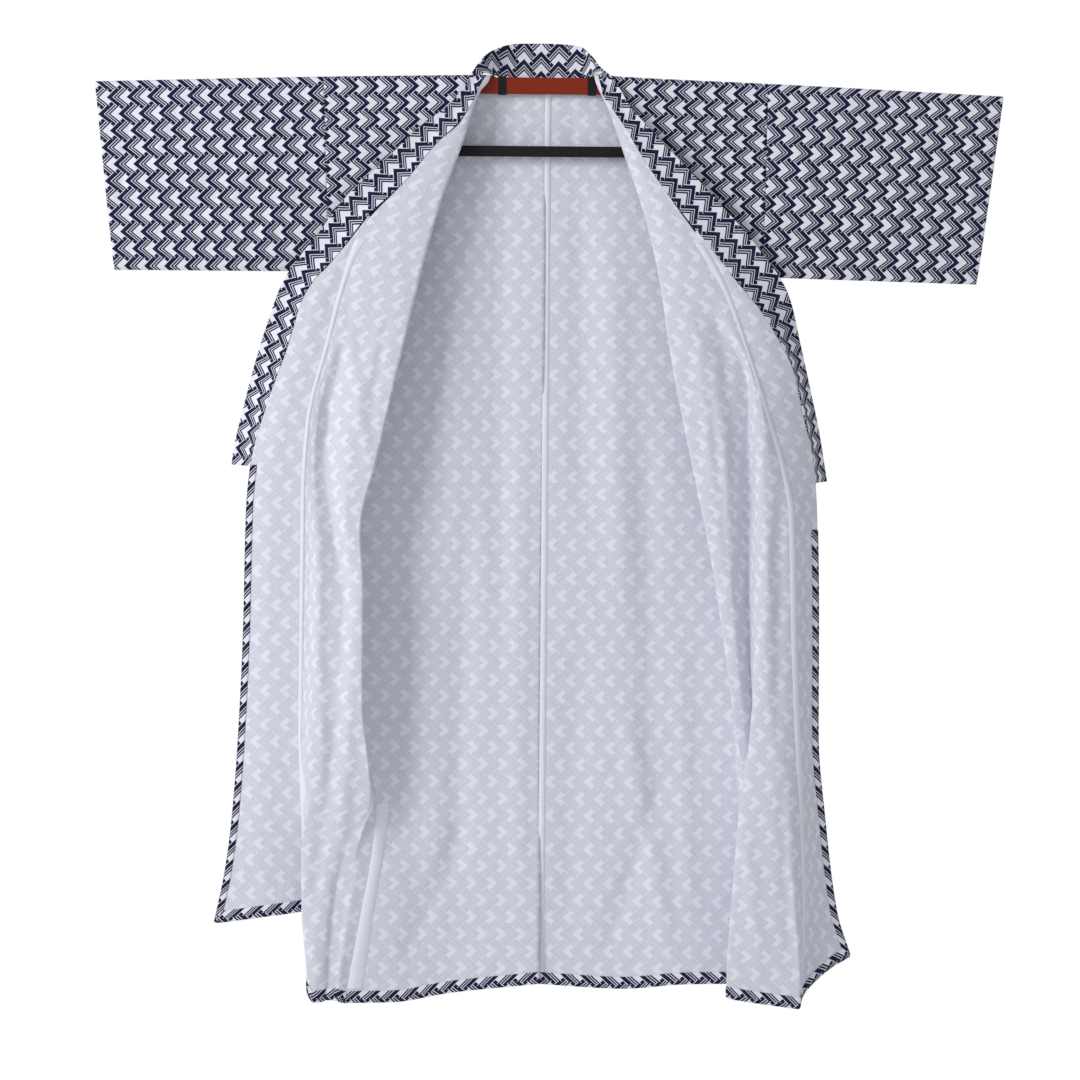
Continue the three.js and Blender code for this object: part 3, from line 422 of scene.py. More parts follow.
# Meshes from grids of places.
def gridMesh(name, p, uv, materials, facing, ring=False):
    # p (rows, columns, 3) in millimetres; neighbours are joined by quads, round and round if ring
    rows, columns = p.shape[:2]
    j = np.arange(rows - 1)[:, None]
    i = np.arange(columns if ring else columns - 1)[None, :]
    nextI = (i + 1) % columns
    top, below = j * columns, (j + 1) * columns
    quads = np.stack([top + i, top + nextI, below + nextI, below + i], -1)
    corners = np.stack(np.broadcast_arrays(
        np.stack([j + 0 * i, i + 0 * j], -1), np.stack([j + 0 * i, i + 1 + 0 * j], -1),
        np.stack([j + 1 + 0 * i, i + 1 + 0 * j], -1), np.stack([j + 1 + 0 * i, i + 0 * j], -1)), -2)
    quads, corners = quads.reshape(-1, 4), corners.reshape(-1, 4, 2)
    a, b, c = (p.reshape(-1, 3)[quads[:, k]] for k in (0, 1, 3))
    outward = np.broadcast_to(np.array(facing, float), a.shape)
    if ring:
        outward = (p - p.mean(1, keepdims=True))[:-1].reshape(-1, 3)
    if np.einsum("ij,ij->", np.cross(b - a, c - a), outward) < 0:
        quads, corners = quads[:, ::-1], corners[:, ::-1]
    starts = np.arange(0, quads.size, 4)
    order, cornerOrder = quads.ravel(), corners.reshape(-1, 2)
    if ring:  # one flat face over each end
        turn = np.arange(columns)
        flipped = quads[0, 1] != (quads[0, 0] + 1) % columns
        nearEnd, farEnd = (turn, turn[::-1]) if flipped else (turn[::-1], turn)
        order = np.concatenate([order, nearEnd, farEnd + (rows - 1) * columns])
        caps = [np.stack([turn * 0, nearEnd], -1), np.stack([turn * 0 + rows - 1, farEnd], -1)]
        cornerOrder = np.concatenate([cornerOrder, *caps])
        starts = np.append(starts, [quads.size, quads.size + columns])
    mesh = bpy.data.meshes.new(name)
    mesh.vertices.add(rows * columns)
    mesh.vertices.foreach_set("co", (p / 1000).ravel())
    mesh.loops.add(len(order))
    mesh.loops.foreach_set("vertex_index", order.astype(np.int32))
    mesh.polygons.add(len(starts))
    mesh.polygons.foreach_set("loop_start", starts.astype(np.int32))
    mesh.polygons.foreach_set("use_smooth", np.arange(len(starts)) < len(quads))
    layer = mesh.uv_layers.new(name="cloth")
    layer.data.foreach_set("uv", (uv[cornerOrder[:, 0], cornerOrder[:, 1]] / 1000).ravel())
    mesh.update(calc_edges=True)
    mesh.validate()
    for material in materials:
        mesh.materials.append(material)
    made = bpy.data.objects.new(name, mesh)
    bpy.context.scene.collection.objects.link(made)
    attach(made, "root")
    return made


def thicken(made, thickness, inner=0):
    # half the wall each side of the grid; inner moves the back face to a later material
    solid = made.modifiers.new("wall", "SOLIDIFY")
    solid.thickness = thickness / 1000
    solid.offset = 0
    solid.material_offset = inner
    return made


# Cloth materials.
printSet = dict(period=29.9, rowStep=25.4, slope=1.13, thick=8.6, first=11.8, second=16.8, fine=1.7)


def nodeTools(tree):
    # calc makes a maths node whose inputs are numbers or other sockets
    nodes, links = tree.nodes, tree.links

    def calc(operation, a, b=None, c=None):
        node = nodes.new("ShaderNodeMath")
        node.operation = operation
        for socket, value in zip(node.inputs, (a, b, c)):
            if value is None:
                continue
            if hasattr(value, "links"):
                links.new(value, socket)
            else:
                socket.default_value = value
        return node.outputs[0]

    return nodes, links, calc


def buildPrintGroup():
    # ink: navy lines of interlaced chevrons, each a heavy and two fine lines; band: the ground they cover
    tree = bpy.data.node_groups.new("chevronPrint", "ShaderNodeTree")
    tree.interface.new_socket("place", in_out="INPUT", socket_type="NodeSocketVector")
    for name in ("ink", "band"):
        tree.interface.new_socket(name, in_out="OUTPUT", socket_type="NodeSocketFloat")
    nodes, links, calc = nodeTools(tree)
    start, end = nodes.new("NodeGroupInput"), nodes.new("NodeGroupOutput")
    split = nodes.new("ShaderNodeSeparateXYZ")
    links.new(start.outputs[0], split.inputs[0])
    s = printSet
    u = calc("MULTIPLY", split.outputs[0], 1000.0)
    v = calc("MULTIPLY", split.outputs[1], 1000.0 / s["rowStep"])
    row = calc("FLOOR", calc("ADD", v, 0.5))
    drop = calc("MULTIPLY", calc("ABSOLUTE", calc("SUBTRACT", v, row)), s["rowStep"])
    odd = calc("FLOORED_MODULO", row, 2.0)

    def stepOver(value, edge, soft=0.35):
        # 0 below the edge, 1 above it, with a soft width
        return calc("MULTIPLY_ADD", calc("SUBTRACT", value, edge), 1 / soft, 0.5)

    def clamped(value):
        return calc("MINIMUM", calc("MAXIMUM", value, 0.0), 1.0)

    def ahead(shiftShare, down):
        # distance behind the nearest outer edge, along the tip's axis
        moved = calc("SUBTRACT", calc("SUBTRACT", u, calc("MULTIPLY", shiftShare, s["period"] / 2)),
                     calc("MULTIPLY", down, s["slope"]))
        return calc("FLOORED_MODULO", moved, s["period"])

    def lines(a):
        heavy = clamped(stepOver(s["thick"], a))
        one = clamped(stepOver(s["fine"], calc("ABSOLUTE", calc("SUBTRACT", a, s["first"]))))
        two = clamped(stepOver(s["fine"], calc("ABSOLUTE", calc("SUBTRACT", a, s["second"]))))
        return calc("MAXIMUM", heavy, calc("MAXIMUM", one, two))

    own = ahead(odd, drop)
    farDrop = calc("SUBTRACT", s["rowStep"], drop)
    other = ahead(calc("SUBTRACT", 1.0, odd), farDrop)
    wide = s["second"] + s["fine"]
    behindLines = clamped(stepOver(own, wide + 1.2))
    openGround = calc("MULTIPLY", behindLines, clamped(stepOver(s["period"] - 1.4, own)))
    openGround = calc("MULTIPLY", openGround, clamped(stepOver(20.0, farDrop)))
    ink = calc("MAXIMUM", lines(own), calc("MULTIPLY", lines(other), openGround))
    bandOwn = clamped(stepOver(wide + 0.8, own, 3.4))
    bandOther = calc("MULTIPLY", clamped(stepOver(wide, other, 3.4)), openGround)
    links.new(ink, end.inputs[0])
    links.new(calc("MAXIMUM", bandOwn, bandOther), end.inputs[1])
    return tree


printGroup = buildPrintGroup()
clothSet = dict(
    white=(0.80, 0.815, 0.90), navy=(0.008, 0.009, 0.045), ghost=(0.52, 0.535, 0.62), dull=(0.70, 0.71, 0.76),
    roughness=0.88, weave=0.25, crumple=0.55)


def colourMix(nodes, links, factor, first, second):
    # first at factor nought, second at one
    node = nodes.new("ShaderNodeMix")
    node.data_type = "RGBA"
    links.new(factor, node.inputs[0])
    for socket, value in ((node.inputs[6], first), (node.inputs[7], second)):
        if hasattr(value, "links"):
            links.new(value, socket)
        else:
            socket.default_value = (*value, 1)
    return node.outputs[2]


def clothMaterial(name, kind):
    # kind: printed (the right side), ghost (the wrong side, print showing through)
    # or plain (a turned-in seam)
    material = bpy.data.materials.new(name)
    material.use_nodes = True
    nodes, links, calc = nodeTools(material.node_tree)
    shader = nodes["Principled BSDF"]
    shader.inputs["Roughness"].default_value = clothSet["roughness"]
    shader.inputs["Specular IOR Level"].default_value = 0.18
    shader.inputs["Sheen Weight"].default_value = 0.05
    shader.inputs["Sheen Roughness"].default_value = 0.5
    place = nodes.new("ShaderNodeUVMap")
    place.uv_map = "cloth"
    spread = nodes.new("ShaderNodeTexNoise")
    spread.inputs["Scale"].default_value = 55
    spread.inputs["Detail"].default_value = 3
    links.new(place.outputs[0], spread.inputs["Vector"])
    cloud = nodes.new("ShaderNodeTexNoise")
    cloud.inputs["Scale"].default_value = 7
    cloud.inputs["Detail"].default_value = 2
    links.new(place.outputs[0], cloud.inputs["Vector"])
    dulled = calc("MULTIPLY", cloud.outputs[0], 0.22)
    ground = colourMix(nodes, links, dulled, clothSet["white"], clothSet["dull"])
    colour = ground
    if kind != "plain":
        prints = nodes.new("ShaderNodeGroup")
        prints.node_tree = printGroup
        links.new(place.outputs[0], prints.inputs[0])
        if kind == "printed":
            worn = calc("MULTIPLY", prints.outputs[0], calc("MULTIPLY_ADD", spread.outputs[0], 0.08, 0.96))
            colour = colourMix(nodes, links, calc("MINIMUM", worn, 1.0), ground, clothSet["navy"])
        else:
            patchy = calc("MULTIPLY_ADD", spread.outputs[0], 0.5, 0.55)
            bands = calc("MULTIPLY", prints.outputs[1], 0.42)
            through = calc("ADD", bands, calc("MULTIPLY", prints.outputs[0], 0.22))
            colour = colourMix(nodes, links, calc("MULTIPLY", through, patchy), ground, clothSet["ghost"])
    links.new(colour, shader.inputs["Base Color"])
    # weave: two crossed fine waves; crumple: soft noise
    weaves = []
    for direction in ("X", "Y"):
        wave = nodes.new("ShaderNodeTexWave")
        wave.bands_direction = direction
        wave.inputs["Scale"].default_value = 550
        links.new(place.outputs[0], wave.inputs["Vector"])
        weaves.append(wave.outputs["Fac"])
    threads = nodes.new("ShaderNodeBump")
    threads.inputs["Strength"].default_value = clothSet["weave"]
    threads.inputs["Distance"].default_value = 0.0001
    links.new(calc("MULTIPLY", weaves[0], weaves[1]), threads.inputs["Height"])
    crumple = nodes.new("ShaderNodeTexNoise")
    crumple.inputs["Scale"].default_value = 26
    crumple.inputs["Detail"].default_value = 3
    crumple.inputs["Distortion"].default_value = 0.6
    links.new(place.outputs[0], crumple.inputs["Vector"])
    soft = nodes.new("ShaderNodeBump")
    soft.inputs["Strength"].default_value = clothSet["crumple"]
    soft.inputs["Distance"].default_value = 0.004
    links.new(crumple.outputs[0], soft.inputs["Height"])
    links.new(threads.outputs[0], soft.inputs["Normal"])
    links.new(soft.outputs[0], shader.inputs["Normal"])
    return material


printed = clothMaterial("printedCotton", "printed")
ghost = clothMaterial("cottonWrongSide", "ghost")
plain = clothMaterial("seamAllowance", "plain")
print("cotton materials")

# Back, fronts and okumi.
clothWall = 0.7
panelSet = dict(backColumns=64, okumiColumns=26, rows=230, okumiRows=170, crestRows=0.8, nearCrestDrop=26)

# each crease: from (x, z) to (x, z), half width, height; minus is a trough
backCreases = [
    (-150, -120, -118, -760, 26, -3.2), (-72, -60, -60, -900, 20, 2.6), (-40, -420, -30, -1300, 18, -2.6),
    (-112, -520, -128, -1250, 17, 2.8), (-176, -700, -150, -1340, 24, -3.0), (48, -80, 62, -700, 20, 2.6),
    (96, -160, 120, -860, 22, -3.2), (60, -760, 40, -1320, 24, 2.4), (150, -420, 168, -1180, 20, 2.8),
    (120, -900, 200, -1330, 17, -3.4), (190, -1010, 90, -1330, 15, 2.8), (-92, -1060, -210, -1330, 16, 2.4),
    (-24, 0, -52, -120, 12, -1.6), (30, 0, 46, -110, 11, 1.5), (205, -760, 225, -1300, 15, -2.4),
]
frontCreases = dict(
    right=[(2.2, 30, 2.0, 330, 0.35, -1.6), (0.6, 60, 1.1, 250, 0.25, 1.6)],
    left=[(0.5, 40, 1.2, 280, 0.25, 1.6), (1.6, 80, 0.8, 260, 0.2, -1.4)],
)
# across the folded-back part: from (x, z) to (x, z), half width, height
foldCreases = dict(
    right=[
        (300, -330, 250, -620, 10, 2.2), (330, -420, 300, -760, 11, -2.4), (285, -300, 330, -560, 9, -2.0),
        (268, -700, 300, -1180, 12, 2.4), (338, -640, 322, -1100, 10, 2.2), (300, -900, 345, -1290, 11, -2.6),
        (230, -330, 262, -520, 8, -1.8), (270, -1100, 306, -1340, 8, 2.0)],
    left=[
        (250, -300, 300, -640, 10, -2.2), (220, -330, 258, -640, 9, 2.0), (320, -470, 338, -820, 9, 2.2),
        (352, -560, 350, -1000, 9, -2.0), (300, -1080, 330, -1340, 10, 2.4),
        (356, -1000, 372, -1330, 9, -2.4),
        (240, -420, 282, -760, 8, -1.8)],
)


def nearCrest(side, z):
    # nought at the shoulder crest, one from 86 mm below it
    return np.clip((crestHeight(side) - panelSet["nearCrestDrop"] - z) / 60, 0, 1)


def shapeBack(side):
    # section points on the rows, flattened over the bar, plus its creases toward the inside
    t = np.linspace(-3, 0, panelSet["backColumns"])
    j = np.linspace(0, bodyRows, panelSet["rows"])
    z = rowHeight(backTop(side, t)[None, :], stationValue(side["hem"]["back"], t + 3)[None, :], j[:, None])
    p = bodyPoint(side, "back", np.broadcast_to(t, z.shape), z)
    over = (j[:, None] < 0.8) & (np.abs(p[..., 0]) > side["neckOut"])
    p[..., 1] = np.where(over, p[..., 1] * np.clip(j[:, None] / 0.8, 0, 1), p[..., 1])
    lift = creaseLift(p[..., 0], z, backCreases) * np.clip(-t / 0.5, 0, 1)[None, :] * nearCrest(side, z)
    p[..., 1] += lift
    u, v = arcAcross(p), -z
    return p, np.stack([u, v], -1)


def frontLift(side, key, p, t, z):
    # creases of the turned-back part act on x and z there, and fade before the ridge and the seams
    x = np.abs(p[..., 0])
    turned = np.clip((t - 3.6) / 1.5, 0, 1) * np.clip((11.2 - t) / 1.0, 0, 1)
    return creaseLift(x, z, foldCreases[key]) * turned


def shapeFront(side, key):
    # as the back, with creases on the turned-back part and on the layer beneath it
    t = np.concatenate([np.linspace(0, 2, 40)[:-1], np.linspace(2, 4, 26)[:-1], np.linspace(4, 9, 87)])
    j = np.linspace(0, bodyRows, panelSet["rows"])
    z = rowHeight(crestHeight(side), stationValue(side["hem"]["front"], t)[None, :], j[:, None])
    tt = np.broadcast_to(t, z.shape)
    p = bodyPoint(side, "front", tt, z)
    p[..., 1] = np.where(j[:, None] < 0.8, p[..., 1] * np.clip(j[:, None] / 0.8, 0, 1), p[..., 1])
    p[..., 1] -= frontLift(side, key, p, tt, z)
    creases = [(a * 60, b, c * 60, d, w * 60, h) for a, b, c, d, w, h in frontCreases[key]]
    outer = creaseLift(tt * 60, -z, creases)
    p[..., 1] -= outer * np.clip(tt / 0.4, 0, 1) * np.clip((2 - tt) / 0.5, 0, 1) * nearCrest(side, z)
    return p, np.stack([-arcAcross(p) - 6, -z], -1)


def shapeOkumi(side, key):
    # section points from the front seam to the outer edge, with the same creases
    t = np.linspace(9, 11, panelSet["okumiColumns"])
    j = np.linspace(0, bodyRows - okumiFromRow, panelSet["okumiRows"])
    z = okumiHeight(side, t[None, :], j[:, None])
    tt = np.broadcast_to(t, z.shape)
    p = bodyPoint(side, "okumi", tt, z)
    p[..., 1] -= frontLift(side, key, p, tt, z)
    return p, np.stack([-arcAcross(p) - 11, -z + 8], -1)


sides = dict(right=rightSide, left=leftSide)
panels = {}
trims = {}
for key, side in sides.items():
    for part, shaper, facing in (
            ("back", lambda: shapeBack(side), (0, 1, 0)),
            ("front", lambda: shapeFront(side, key), None),
            ("okumi", lambda: shapeOkumi(side, key), (0, 1, 0))):
        p, uv = shaper()
        if part == "front":  # near the armhole its right side looks forward
            p0, p1, p2 = p[60, 4], p[60, 5], p[61, 4]
            flip = np.cross(p1 - p0, p2 - p0)[1] > 0
            facing = gridNormals(p).sum((0, 1)) * (-1 if flip else 1)
        piece = gridMesh(f"{part}_cloth_{key}", p, uv, [printed, ghost], facing)
        thicken(piece, clothWall, inner=1)
        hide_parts(f"{part}_{key}")
        panels[part, key] = piece
print("body panels")

# Sleeves.
# from (share along, share down) to the same, in millimetres of the sleeve: half width, height
sleeveCreases = dict(
    right=[(40, 20, 175, 215, 8, 2.6), (70, 12, 210, 190, 9, -2.0), (230, 10, 270, 150, 9, 1.6),
           (120, 150, 300, 250, 9, -1.8), (20, 120, 120, 262, 8, 1.6), (290, 30, 330, 210, 8, -1.8)],
    left=[(250, 15, 190, 240, 10, 2.0), (120, 30, 60, 210, 9, -2.0), (300, 40, 330, 240, 9, 1.8),
          (30, 60, 100, 240, 9, 1.6), (180, 20, 140, 150, 9, -1.6), (60, 200, 250, 262, 8, -1.6)],
)


sleeveSet = dict(length=345, drop=285, along=110, down=70, swell=0.12)


def shapeSleeve(side, key):
    # a tube folded over the arm: along runs from armhole to cuff,
    # the ring runs down the front and up the back
    along = np.linspace(0, 1, sleeveSet["along"])[:, None]
    near = np.linspace(0, 1, sleeveSet["down"])
    drop = (0.5 - 0.5 * np.cos(np.pi * near))
    ring = np.concatenate([drop, drop[-2:0:-1]])[None, :]
    face = np.concatenate([np.full(len(drop), -1.0), np.full(len(drop) - 2, 1.0)])[None, :]
    face[0, 0] = face[0, len(drop) - 1] = 0
    hole, cuff = side["armhole"], side["cuff"]
    out = mix(mix(hole["top"], hole["bottom"], ring), mix(cuff["top"], cuff["bottom"], ring), along)
    crest = side["shoulder"](out.ravel())["z"].reshape(out.shape)
    low = mix(hole["underarm"], cuff["hem"], along)
    turn = crestTurn((ring * (crest - low)).ravel())["share"].reshape(out.shape)
    depth = tubeDepth(np.broadcast_to(ring, out.shape).ravel())["depth"].reshape(out.shape)
    swell = 1 + sleeveSet["swell"] * np.sin(np.pi * along) * np.sin(np.pi * ring)
    z = mix(crest, low, ring)
    creases = creaseLift(along * sleeveSet["length"], ring * sleeveSet["drop"], sleeveCreases[key])
    creases *= np.clip(ring / 0.12, 0, 1) * np.clip((1 - ring) / 0.1, 0, 1) * np.clip(along / 0.06, 0, 1)
    p = np.stack([side["sign"] * out, face * (depth * turn * swell + creases), z], -1)
    fromCuff = mix(cuff["top"], cuff["bottom"], ring) - out
    down = ring * sleeveSet["drop"]
    v = np.where(face <= 0, down, 2 * sleeveSet["drop"] - down) + 0 * out
    return p, np.stack([fromCuff, v], -1)


for key, side in sides.items():
    p, uv = shapeSleeve(side, key)
    uvRing = np.concatenate([uv, uv[:, :1] + np.array([0, 2.0 * sleeveSet["drop"]])], 1)
    piece = gridMesh(f"sleeve_cloth_{key}", p, uvRing, [printed, ghost], (0, -1, 0), ring=True)
    thicken(piece, clothWall, inner=1)
    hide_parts(f"sleeve_{key}")
print("sleeves")

# Collar.
collarSet = dict(wall=2.6, bow=3.5, across=16, along=420)
neckRing = [  # seam edge x y z, free edge x y z
    (-95, -12, 19, -110, -18, 19), (-84, -1, 18, -97, -13, 38), (-74, 8.5, 15.2, -77, 6, 55),
    (-46, 14, 3.5, -47, 22, 65), (0, 16, -1.5, 0, 26, 66), (42, 14, 3, 48, 22, 62),
    (61, 9.5, 14, 63, 8, 49), (66, 4.2, 18.8, 70, -1, 40), (70, -1, 18.4, 77, -11, 29),
    (80, -11, 18.5, 90, -17, 17.5),
]


def sideRails(side):
    # seam rail and free rail beside the robe's edge, down to the collar's end
    seamHem = stationValue(side["hem"]["front"], 9.0)
    j = np.arange(len(crestDrops) - 1, okumiFromRow)
    z = rowHeight(crestHeight(side), seamHem, j)
    parts = [("front", 9.0, z)]
    k = np.arange(0, bodyRows - okumiFromRow)
    zDown = okumiHeight(side, np.full(len(k), 11.0), k)
    parts.append(("okumi", 11.0, np.append(zDown[zDown > side["collarEnd"] + 12], side["collarEnd"])))
    seams, frees = [], []
    for part, t, heights in parts:
        edge = bodyPoint(side, part, np.full(len(heights), t), heights)
        offset = side["collar"](heights)
        reach = np.stack([side["sign"] * offset["out"], offset["back"], offset["up"]], 1)
        seams.append(edge + reach / np.linalg.norm(reach, axis=1, keepdims=True) * 0.3)
        frees.append(edge + reach)
    return np.concatenate(seams), np.concatenate(frees)


def shapeCollar():
    # a bowed band between the seam rail and the free rail, even along its own length
    rightSeam, rightFree = sideRails(rightSide)
    leftSeam, leftFree = sideRails(leftSide)
    ring = np.array(neckRing, float)
    seam = np.concatenate([rightSeam[::-1], ring[:, :3], leftSeam])
    free = np.concatenate([rightFree[::-1], ring[:, 3:], leftFree])
    steps = np.linalg.norm(np.diff((seam + free) / 2, axis=0), axis=1)
    length = np.concatenate([[0], np.cumsum(steps)])
    at = np.linspace(0, length[-1], collarSet["along"])
    rails = (seam, free)
    seam, free = (np.stack([smoothAt(length, rail[:, k], at) for k in range(3)], 1) for rail in rails)
    share = np.linspace(0, 1, collarSet["across"])[None, :, None]
    run = np.gradient(seam, axis=0)
    lift = np.cross(free - seam, run)
    lift /= np.linalg.norm(lift, axis=1, keepdims=True)
    p = mix(seam[:, None], free[:, None], share) + lift[:, None] * collarSet["bow"] * np.sin(np.pi * share)
    width = np.linalg.norm(free - seam, axis=1)[:, None] * share[..., 0]
    return p, np.stack([-width - 3, np.broadcast_to(at[:, None], width.shape)], -1)


p, uv = shapeCollar()
collar = gridMesh("collar_band", p, uv, [printed], (0, -1, 0))
thicken(collar, collarSet["wall"])
rounded = collar.modifiers.new("softEdge", "BEVEL")
rounded.width = 0.0011
rounded.segments = 2
rounded.limit_method = "ANGLE"
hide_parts("collar")
print("collar")


# Rolled hems and turned-in seams.
def stripAlong(name, place, spots, profile, materials, slide=0.0):
    # closed profile (distance from the edge, height over the wrong side) carried along the edge
    a = np.array(profile, float)
    base = place(spots[:, None], a[None, :, 0])
    flat = place(spots[:, None], np.array([[0.0, 4.0]]))
    along = np.gradient(flat[:, 0], axis=0)
    inward = flat[:, 1] - flat[:, 0]
    normal = np.cross(along, inward)
    normal /= np.linalg.norm(normal, axis=1, keepdims=True)
    if normal[:, 1].mean() > 0:
        normal = -normal
    p = base + normal[:, None] * a[None, :, 1:2]
    run = np.concatenate([[0], np.cumsum(np.linalg.norm(np.diff(flat[:, 0], axis=0), axis=1))])
    around = np.concatenate([[0], np.cumsum(np.linalg.norm(np.diff(a, axis=0), axis=1))])
    around = np.append(around, around[-1] + 1)
    uv = np.stack(np.broadcast_arrays(run[:, None] + slide, around[None, :]), -1)
    return gridMesh(name, p, uv, materials, (0, -1, 0), ring=True)


hemProfile = [(16.5, 0.1), (16.8, 1.1), (14, 1.7), (7, 2.0), (1.5, 1.8), (-0.6, 1.2), (-1.2, 0), (-0.6, -1.1),
              (1.5, -1.4), (7, -0.9), (14, -0.45)]
edgeProfile = [(9.5, 0.1), (9.8, 1.0), (8, 1.6), (5, 1.9), (1.4, 1.7), (-0.5, 1.1), (-1.0, 0), (-0.5, -1.0),
               (1.4, -1.3), (5, -0.9), (8, -0.45)]


def hemPlace(side, key, part):
    # the hem's height at a station plus the distance up from it
    values = side["hem"][part]
    first = dict(back=-3, front=0, okumi=9)[part]

    def place(t, d):
        t, d = np.broadcast_arrays(t, d)
        z = stationValue(values, (t - first).ravel()).reshape(t.shape) + d
        p = bodyPoint(side, part, t, z)
        if part == "back":
            p[..., 1] += creaseLift(p[..., 0], z, backCreases) * np.clip(-t / 0.5, 0, 1)
        else:
            p[..., 1] -= frontLift(side, key, p, t, z)
        return p

    return place


def edgePlace(side, key):
    # the outer edge at a row, moved in by the distance or out beyond the edge
    def place(j, d):
        j, d = np.broadcast_arrays(j, d)
        z = okumiHeight(side, np.full(j.size, 11.0), j.ravel()).reshape(j.shape)
        seam, edge = side["frontEdge"](z.ravel())["out"], side["outerEdge"](z.ravel())["out"]
        t = 11 - 2 * d / np.maximum(np.abs(edge - seam).reshape(j.shape), 20)
        p = bodyPoint(side, "okumi", t, z)
        p[..., 1] -= frontLift(side, key, p, t, z)
        over = np.maximum(-d, 0)
        p[..., 0] += side["sign"] * over
        return p

    return place


for key, side in sides.items():
    for part, spots in (("back", np.linspace(-3, -0.02, 90)), ("front", np.linspace(0.02, 8.98, 200)),
                        ("okumi", np.linspace(9.02, 10.97, 60))):
        strip = stripAlong(f"{part}_hem_{key}", hemPlace(side, key, part), spots, hemProfile, [printed])
        trims.setdefault((part, key), []).append(strip)
    rows = np.linspace(6.3 if key == "right" else 7.3, bodyRows - okumiFromRow - 0.02, 190)
    strip = stripAlong(f"okumi_edge_{key}", edgePlace(side, key), rows, edgeProfile, [printed], slide=9)
    trims["okumi", key].append(strip)
print("hems")

# turned-in seams: white tapes on the wrong side; each ends at two heights
seamSet = dict(centre=9.5, okumi=9.0, side=15.0, centreUnit=118)


def seamProfile(width, start=0.0):
    # a low flat tape: distance across, then height, with thin sides
    return [(start, 0.2), (start + 0.4, 0.9), (start + width / 2, 1.1), (start + width - 0.4, 0.9),
            (start + width, 0.2), (start + width / 2, 0.1)]


def seamPlace(side, key, part, station, perUnit, inward):
    # at height z, the station moved by the distance over the cloth's width for one station
    def place(z, d):
        z, d = np.broadcast_arrays(z, d)
        t = station + inward * d / perUnit(z)
        p = bodyPoint(side, part, t, z)
        if part == "back":
            p[..., 1] += creaseLift(p[..., 0], z, backCreases) * np.clip(-t / 0.5, 0, 1) * nearCrest(side, z)
        else:
            p[..., 1] -= frontLift(side, key, p, t, z)
        return p

    return place


def centrePlace(side):
    # the back at the same distance either side of the centre line, so the tape lies across it
    def place(z, d):
        z, d = np.broadcast_arrays(z, d)
        p = bodyPoint(side, "back", -3 + np.abs(d) / seamSet["centreUnit"], z)
        p[..., 0] = d
        p[..., 1] += creaseLift(d, z, backCreases) * nearCrest(side, z)
        return p

    return place


def unitWidth(side, part, station, inward):
    # millimetres of cloth for one station step beside the seam
    def perUnit(z):
        a = bodyPoint(side, part, np.full(z.shape, float(station)), z)
        b = bodyPoint(side, part, np.full(z.shape, station + inward * 0.1), z)
        return np.maximum(np.linalg.norm(b - a, axis=-1) * 10, 4)

    return perUnit


okumiTape = seamProfile(seamSet["okumi"], -0.4)
seams = [
    ("centre_seam", leftSide, "left", "back", -3.0, 1, -2, -1338, seamProfile(seamSet["centre"], -2.8)),
    ("okumi_seam_right", rightSide, "right", "front", 9.0, -1, -232, -1230, okumiTape),
    ("okumi_seam_left", leftSide, "left", "front", 9.0, -1, -236, -1350, okumiTape),
    ("side_seam_right", rightSide, "right", "back", 0.0, -1, -1074, -1352,
     seamProfile(seamSet["side"], -0.5)),
]
for name, side, key, part, station, inward, top, bottom, profile in seams:
    if name == "centre_seam":
        place = centrePlace(side)
    else:
        place = seamPlace(side, key, part, station, unitWidth(side, part, station, inward), inward)
    strip = stripAlong(name, place, np.linspace(top, bottom, 160), profile, [plain])
    trims[part, key].append(strip)

for (part, key), piece in panels.items():
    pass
print("seams")


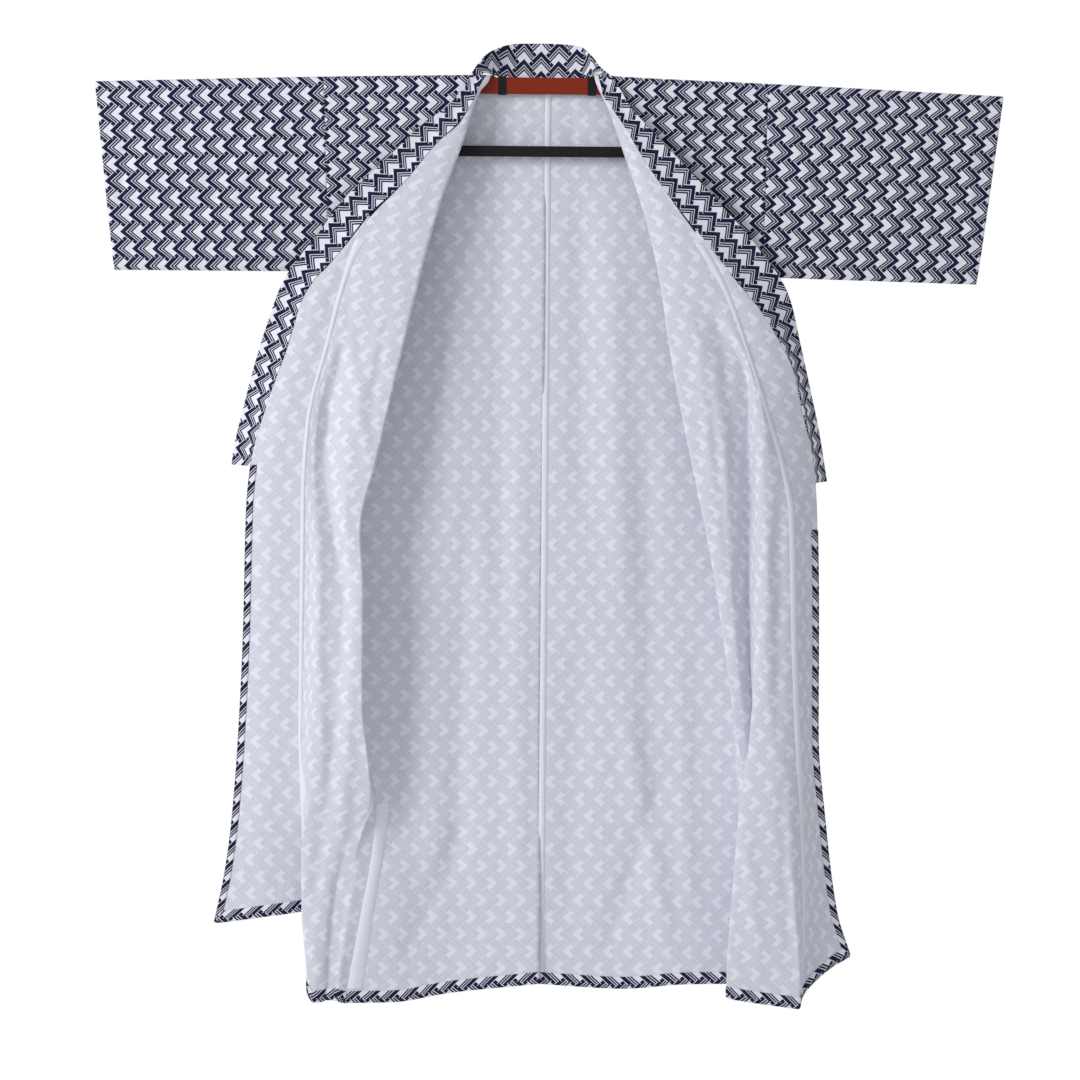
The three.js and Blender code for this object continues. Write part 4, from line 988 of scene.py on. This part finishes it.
# Hanger finishes.
def solidMaterial(name, colour, second, roughness, coat, scale, stretch):
    # two colours mixed by a noise drawn out along the part, which also roughens and raises it a little
    material = bpy.data.materials.new(name)
    material.use_nodes = True
    nodes, links, calc = nodeTools(material.node_tree)
    shader = nodes["Principled BSDF"]
    shader.inputs["Specular IOR Level"].default_value = 0.15
    shader.inputs["Coat Weight"].default_value = coat
    shader.inputs["Coat Roughness"].default_value = 0.25
    place = nodes.new("ShaderNodeTexCoord")
    turn = nodes.new("ShaderNodeMapping")
    turn.inputs["Scale"].default_value = stretch
    links.new(place.outputs["Object"], turn.inputs["Vector"])
    grain = nodes.new("ShaderNodeTexNoise")
    grain.inputs["Scale"].default_value = scale
    grain.inputs["Detail"].default_value = 5
    links.new(turn.outputs[0], grain.inputs["Vector"])
    links.new(colourMix(nodes, links, grain.outputs[0], colour, second), shader.inputs["Base Color"])
    links.new(calc("MULTIPLY_ADD", grain.outputs[0], 0.2, roughness), shader.inputs["Roughness"])
    bump = nodes.new("ShaderNodeBump")
    bump.inputs["Strength"].default_value = 0.15
    bump.inputs["Distance"].default_value = 0.0004
    links.new(grain.outputs[0], bump.inputs["Height"])
    links.new(bump.outputs[0], shader.inputs["Normal"])
    return material


lacquer = solidMaterial("redLacquer", (0.27, 0.026, 0.008), (0.20, 0.018, 0.006), 0.3, 0.08, 60, (0.3, 3, 3))
blackResin = solidMaterial(
    "blackResin", (0.008, 0.008, 0.009), (0.015, 0.015, 0.017), 0.45, 0.0, 90, (1, 1, 1))
for name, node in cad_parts.items():
    if name.startswith(("hanger", "obi")):
        node.data.materials.clear()
        node.data.materials.append(lacquer if name == "hanger_bar" else blackResin)
print("hanger")

floorMesh = bpy.data.meshes.new("floor")
floorZ = cadLow[2] - studio["floorDrop"]
floorX, floorY = 3, 2.6
corners = [(-floorX, -floorY), (floorX, -floorY), (floorX, floorY), (-floorX, floorY)]
floorMesh.from_pydata([(x, y, floorZ) for x, y in corners], [], [(0, 1, 2, 3)])
floorPaint = bpy.data.materials.new("paleFloor")
floorPaint.use_nodes = True
floorPaint.node_tree.nodes["Principled BSDF"].inputs["Base Color"].default_value = (0.86, 0.86, 0.86, 1)
floorPaint.node_tree.nodes["Principled BSDF"].inputs["Roughness"].default_value = 0.8
floorMesh.materials.append(floorPaint)
floor = bpy.data.objects.new("floor", floorMesh)
bpy.context.scene.collection.objects.link(floor)

print("bounds")
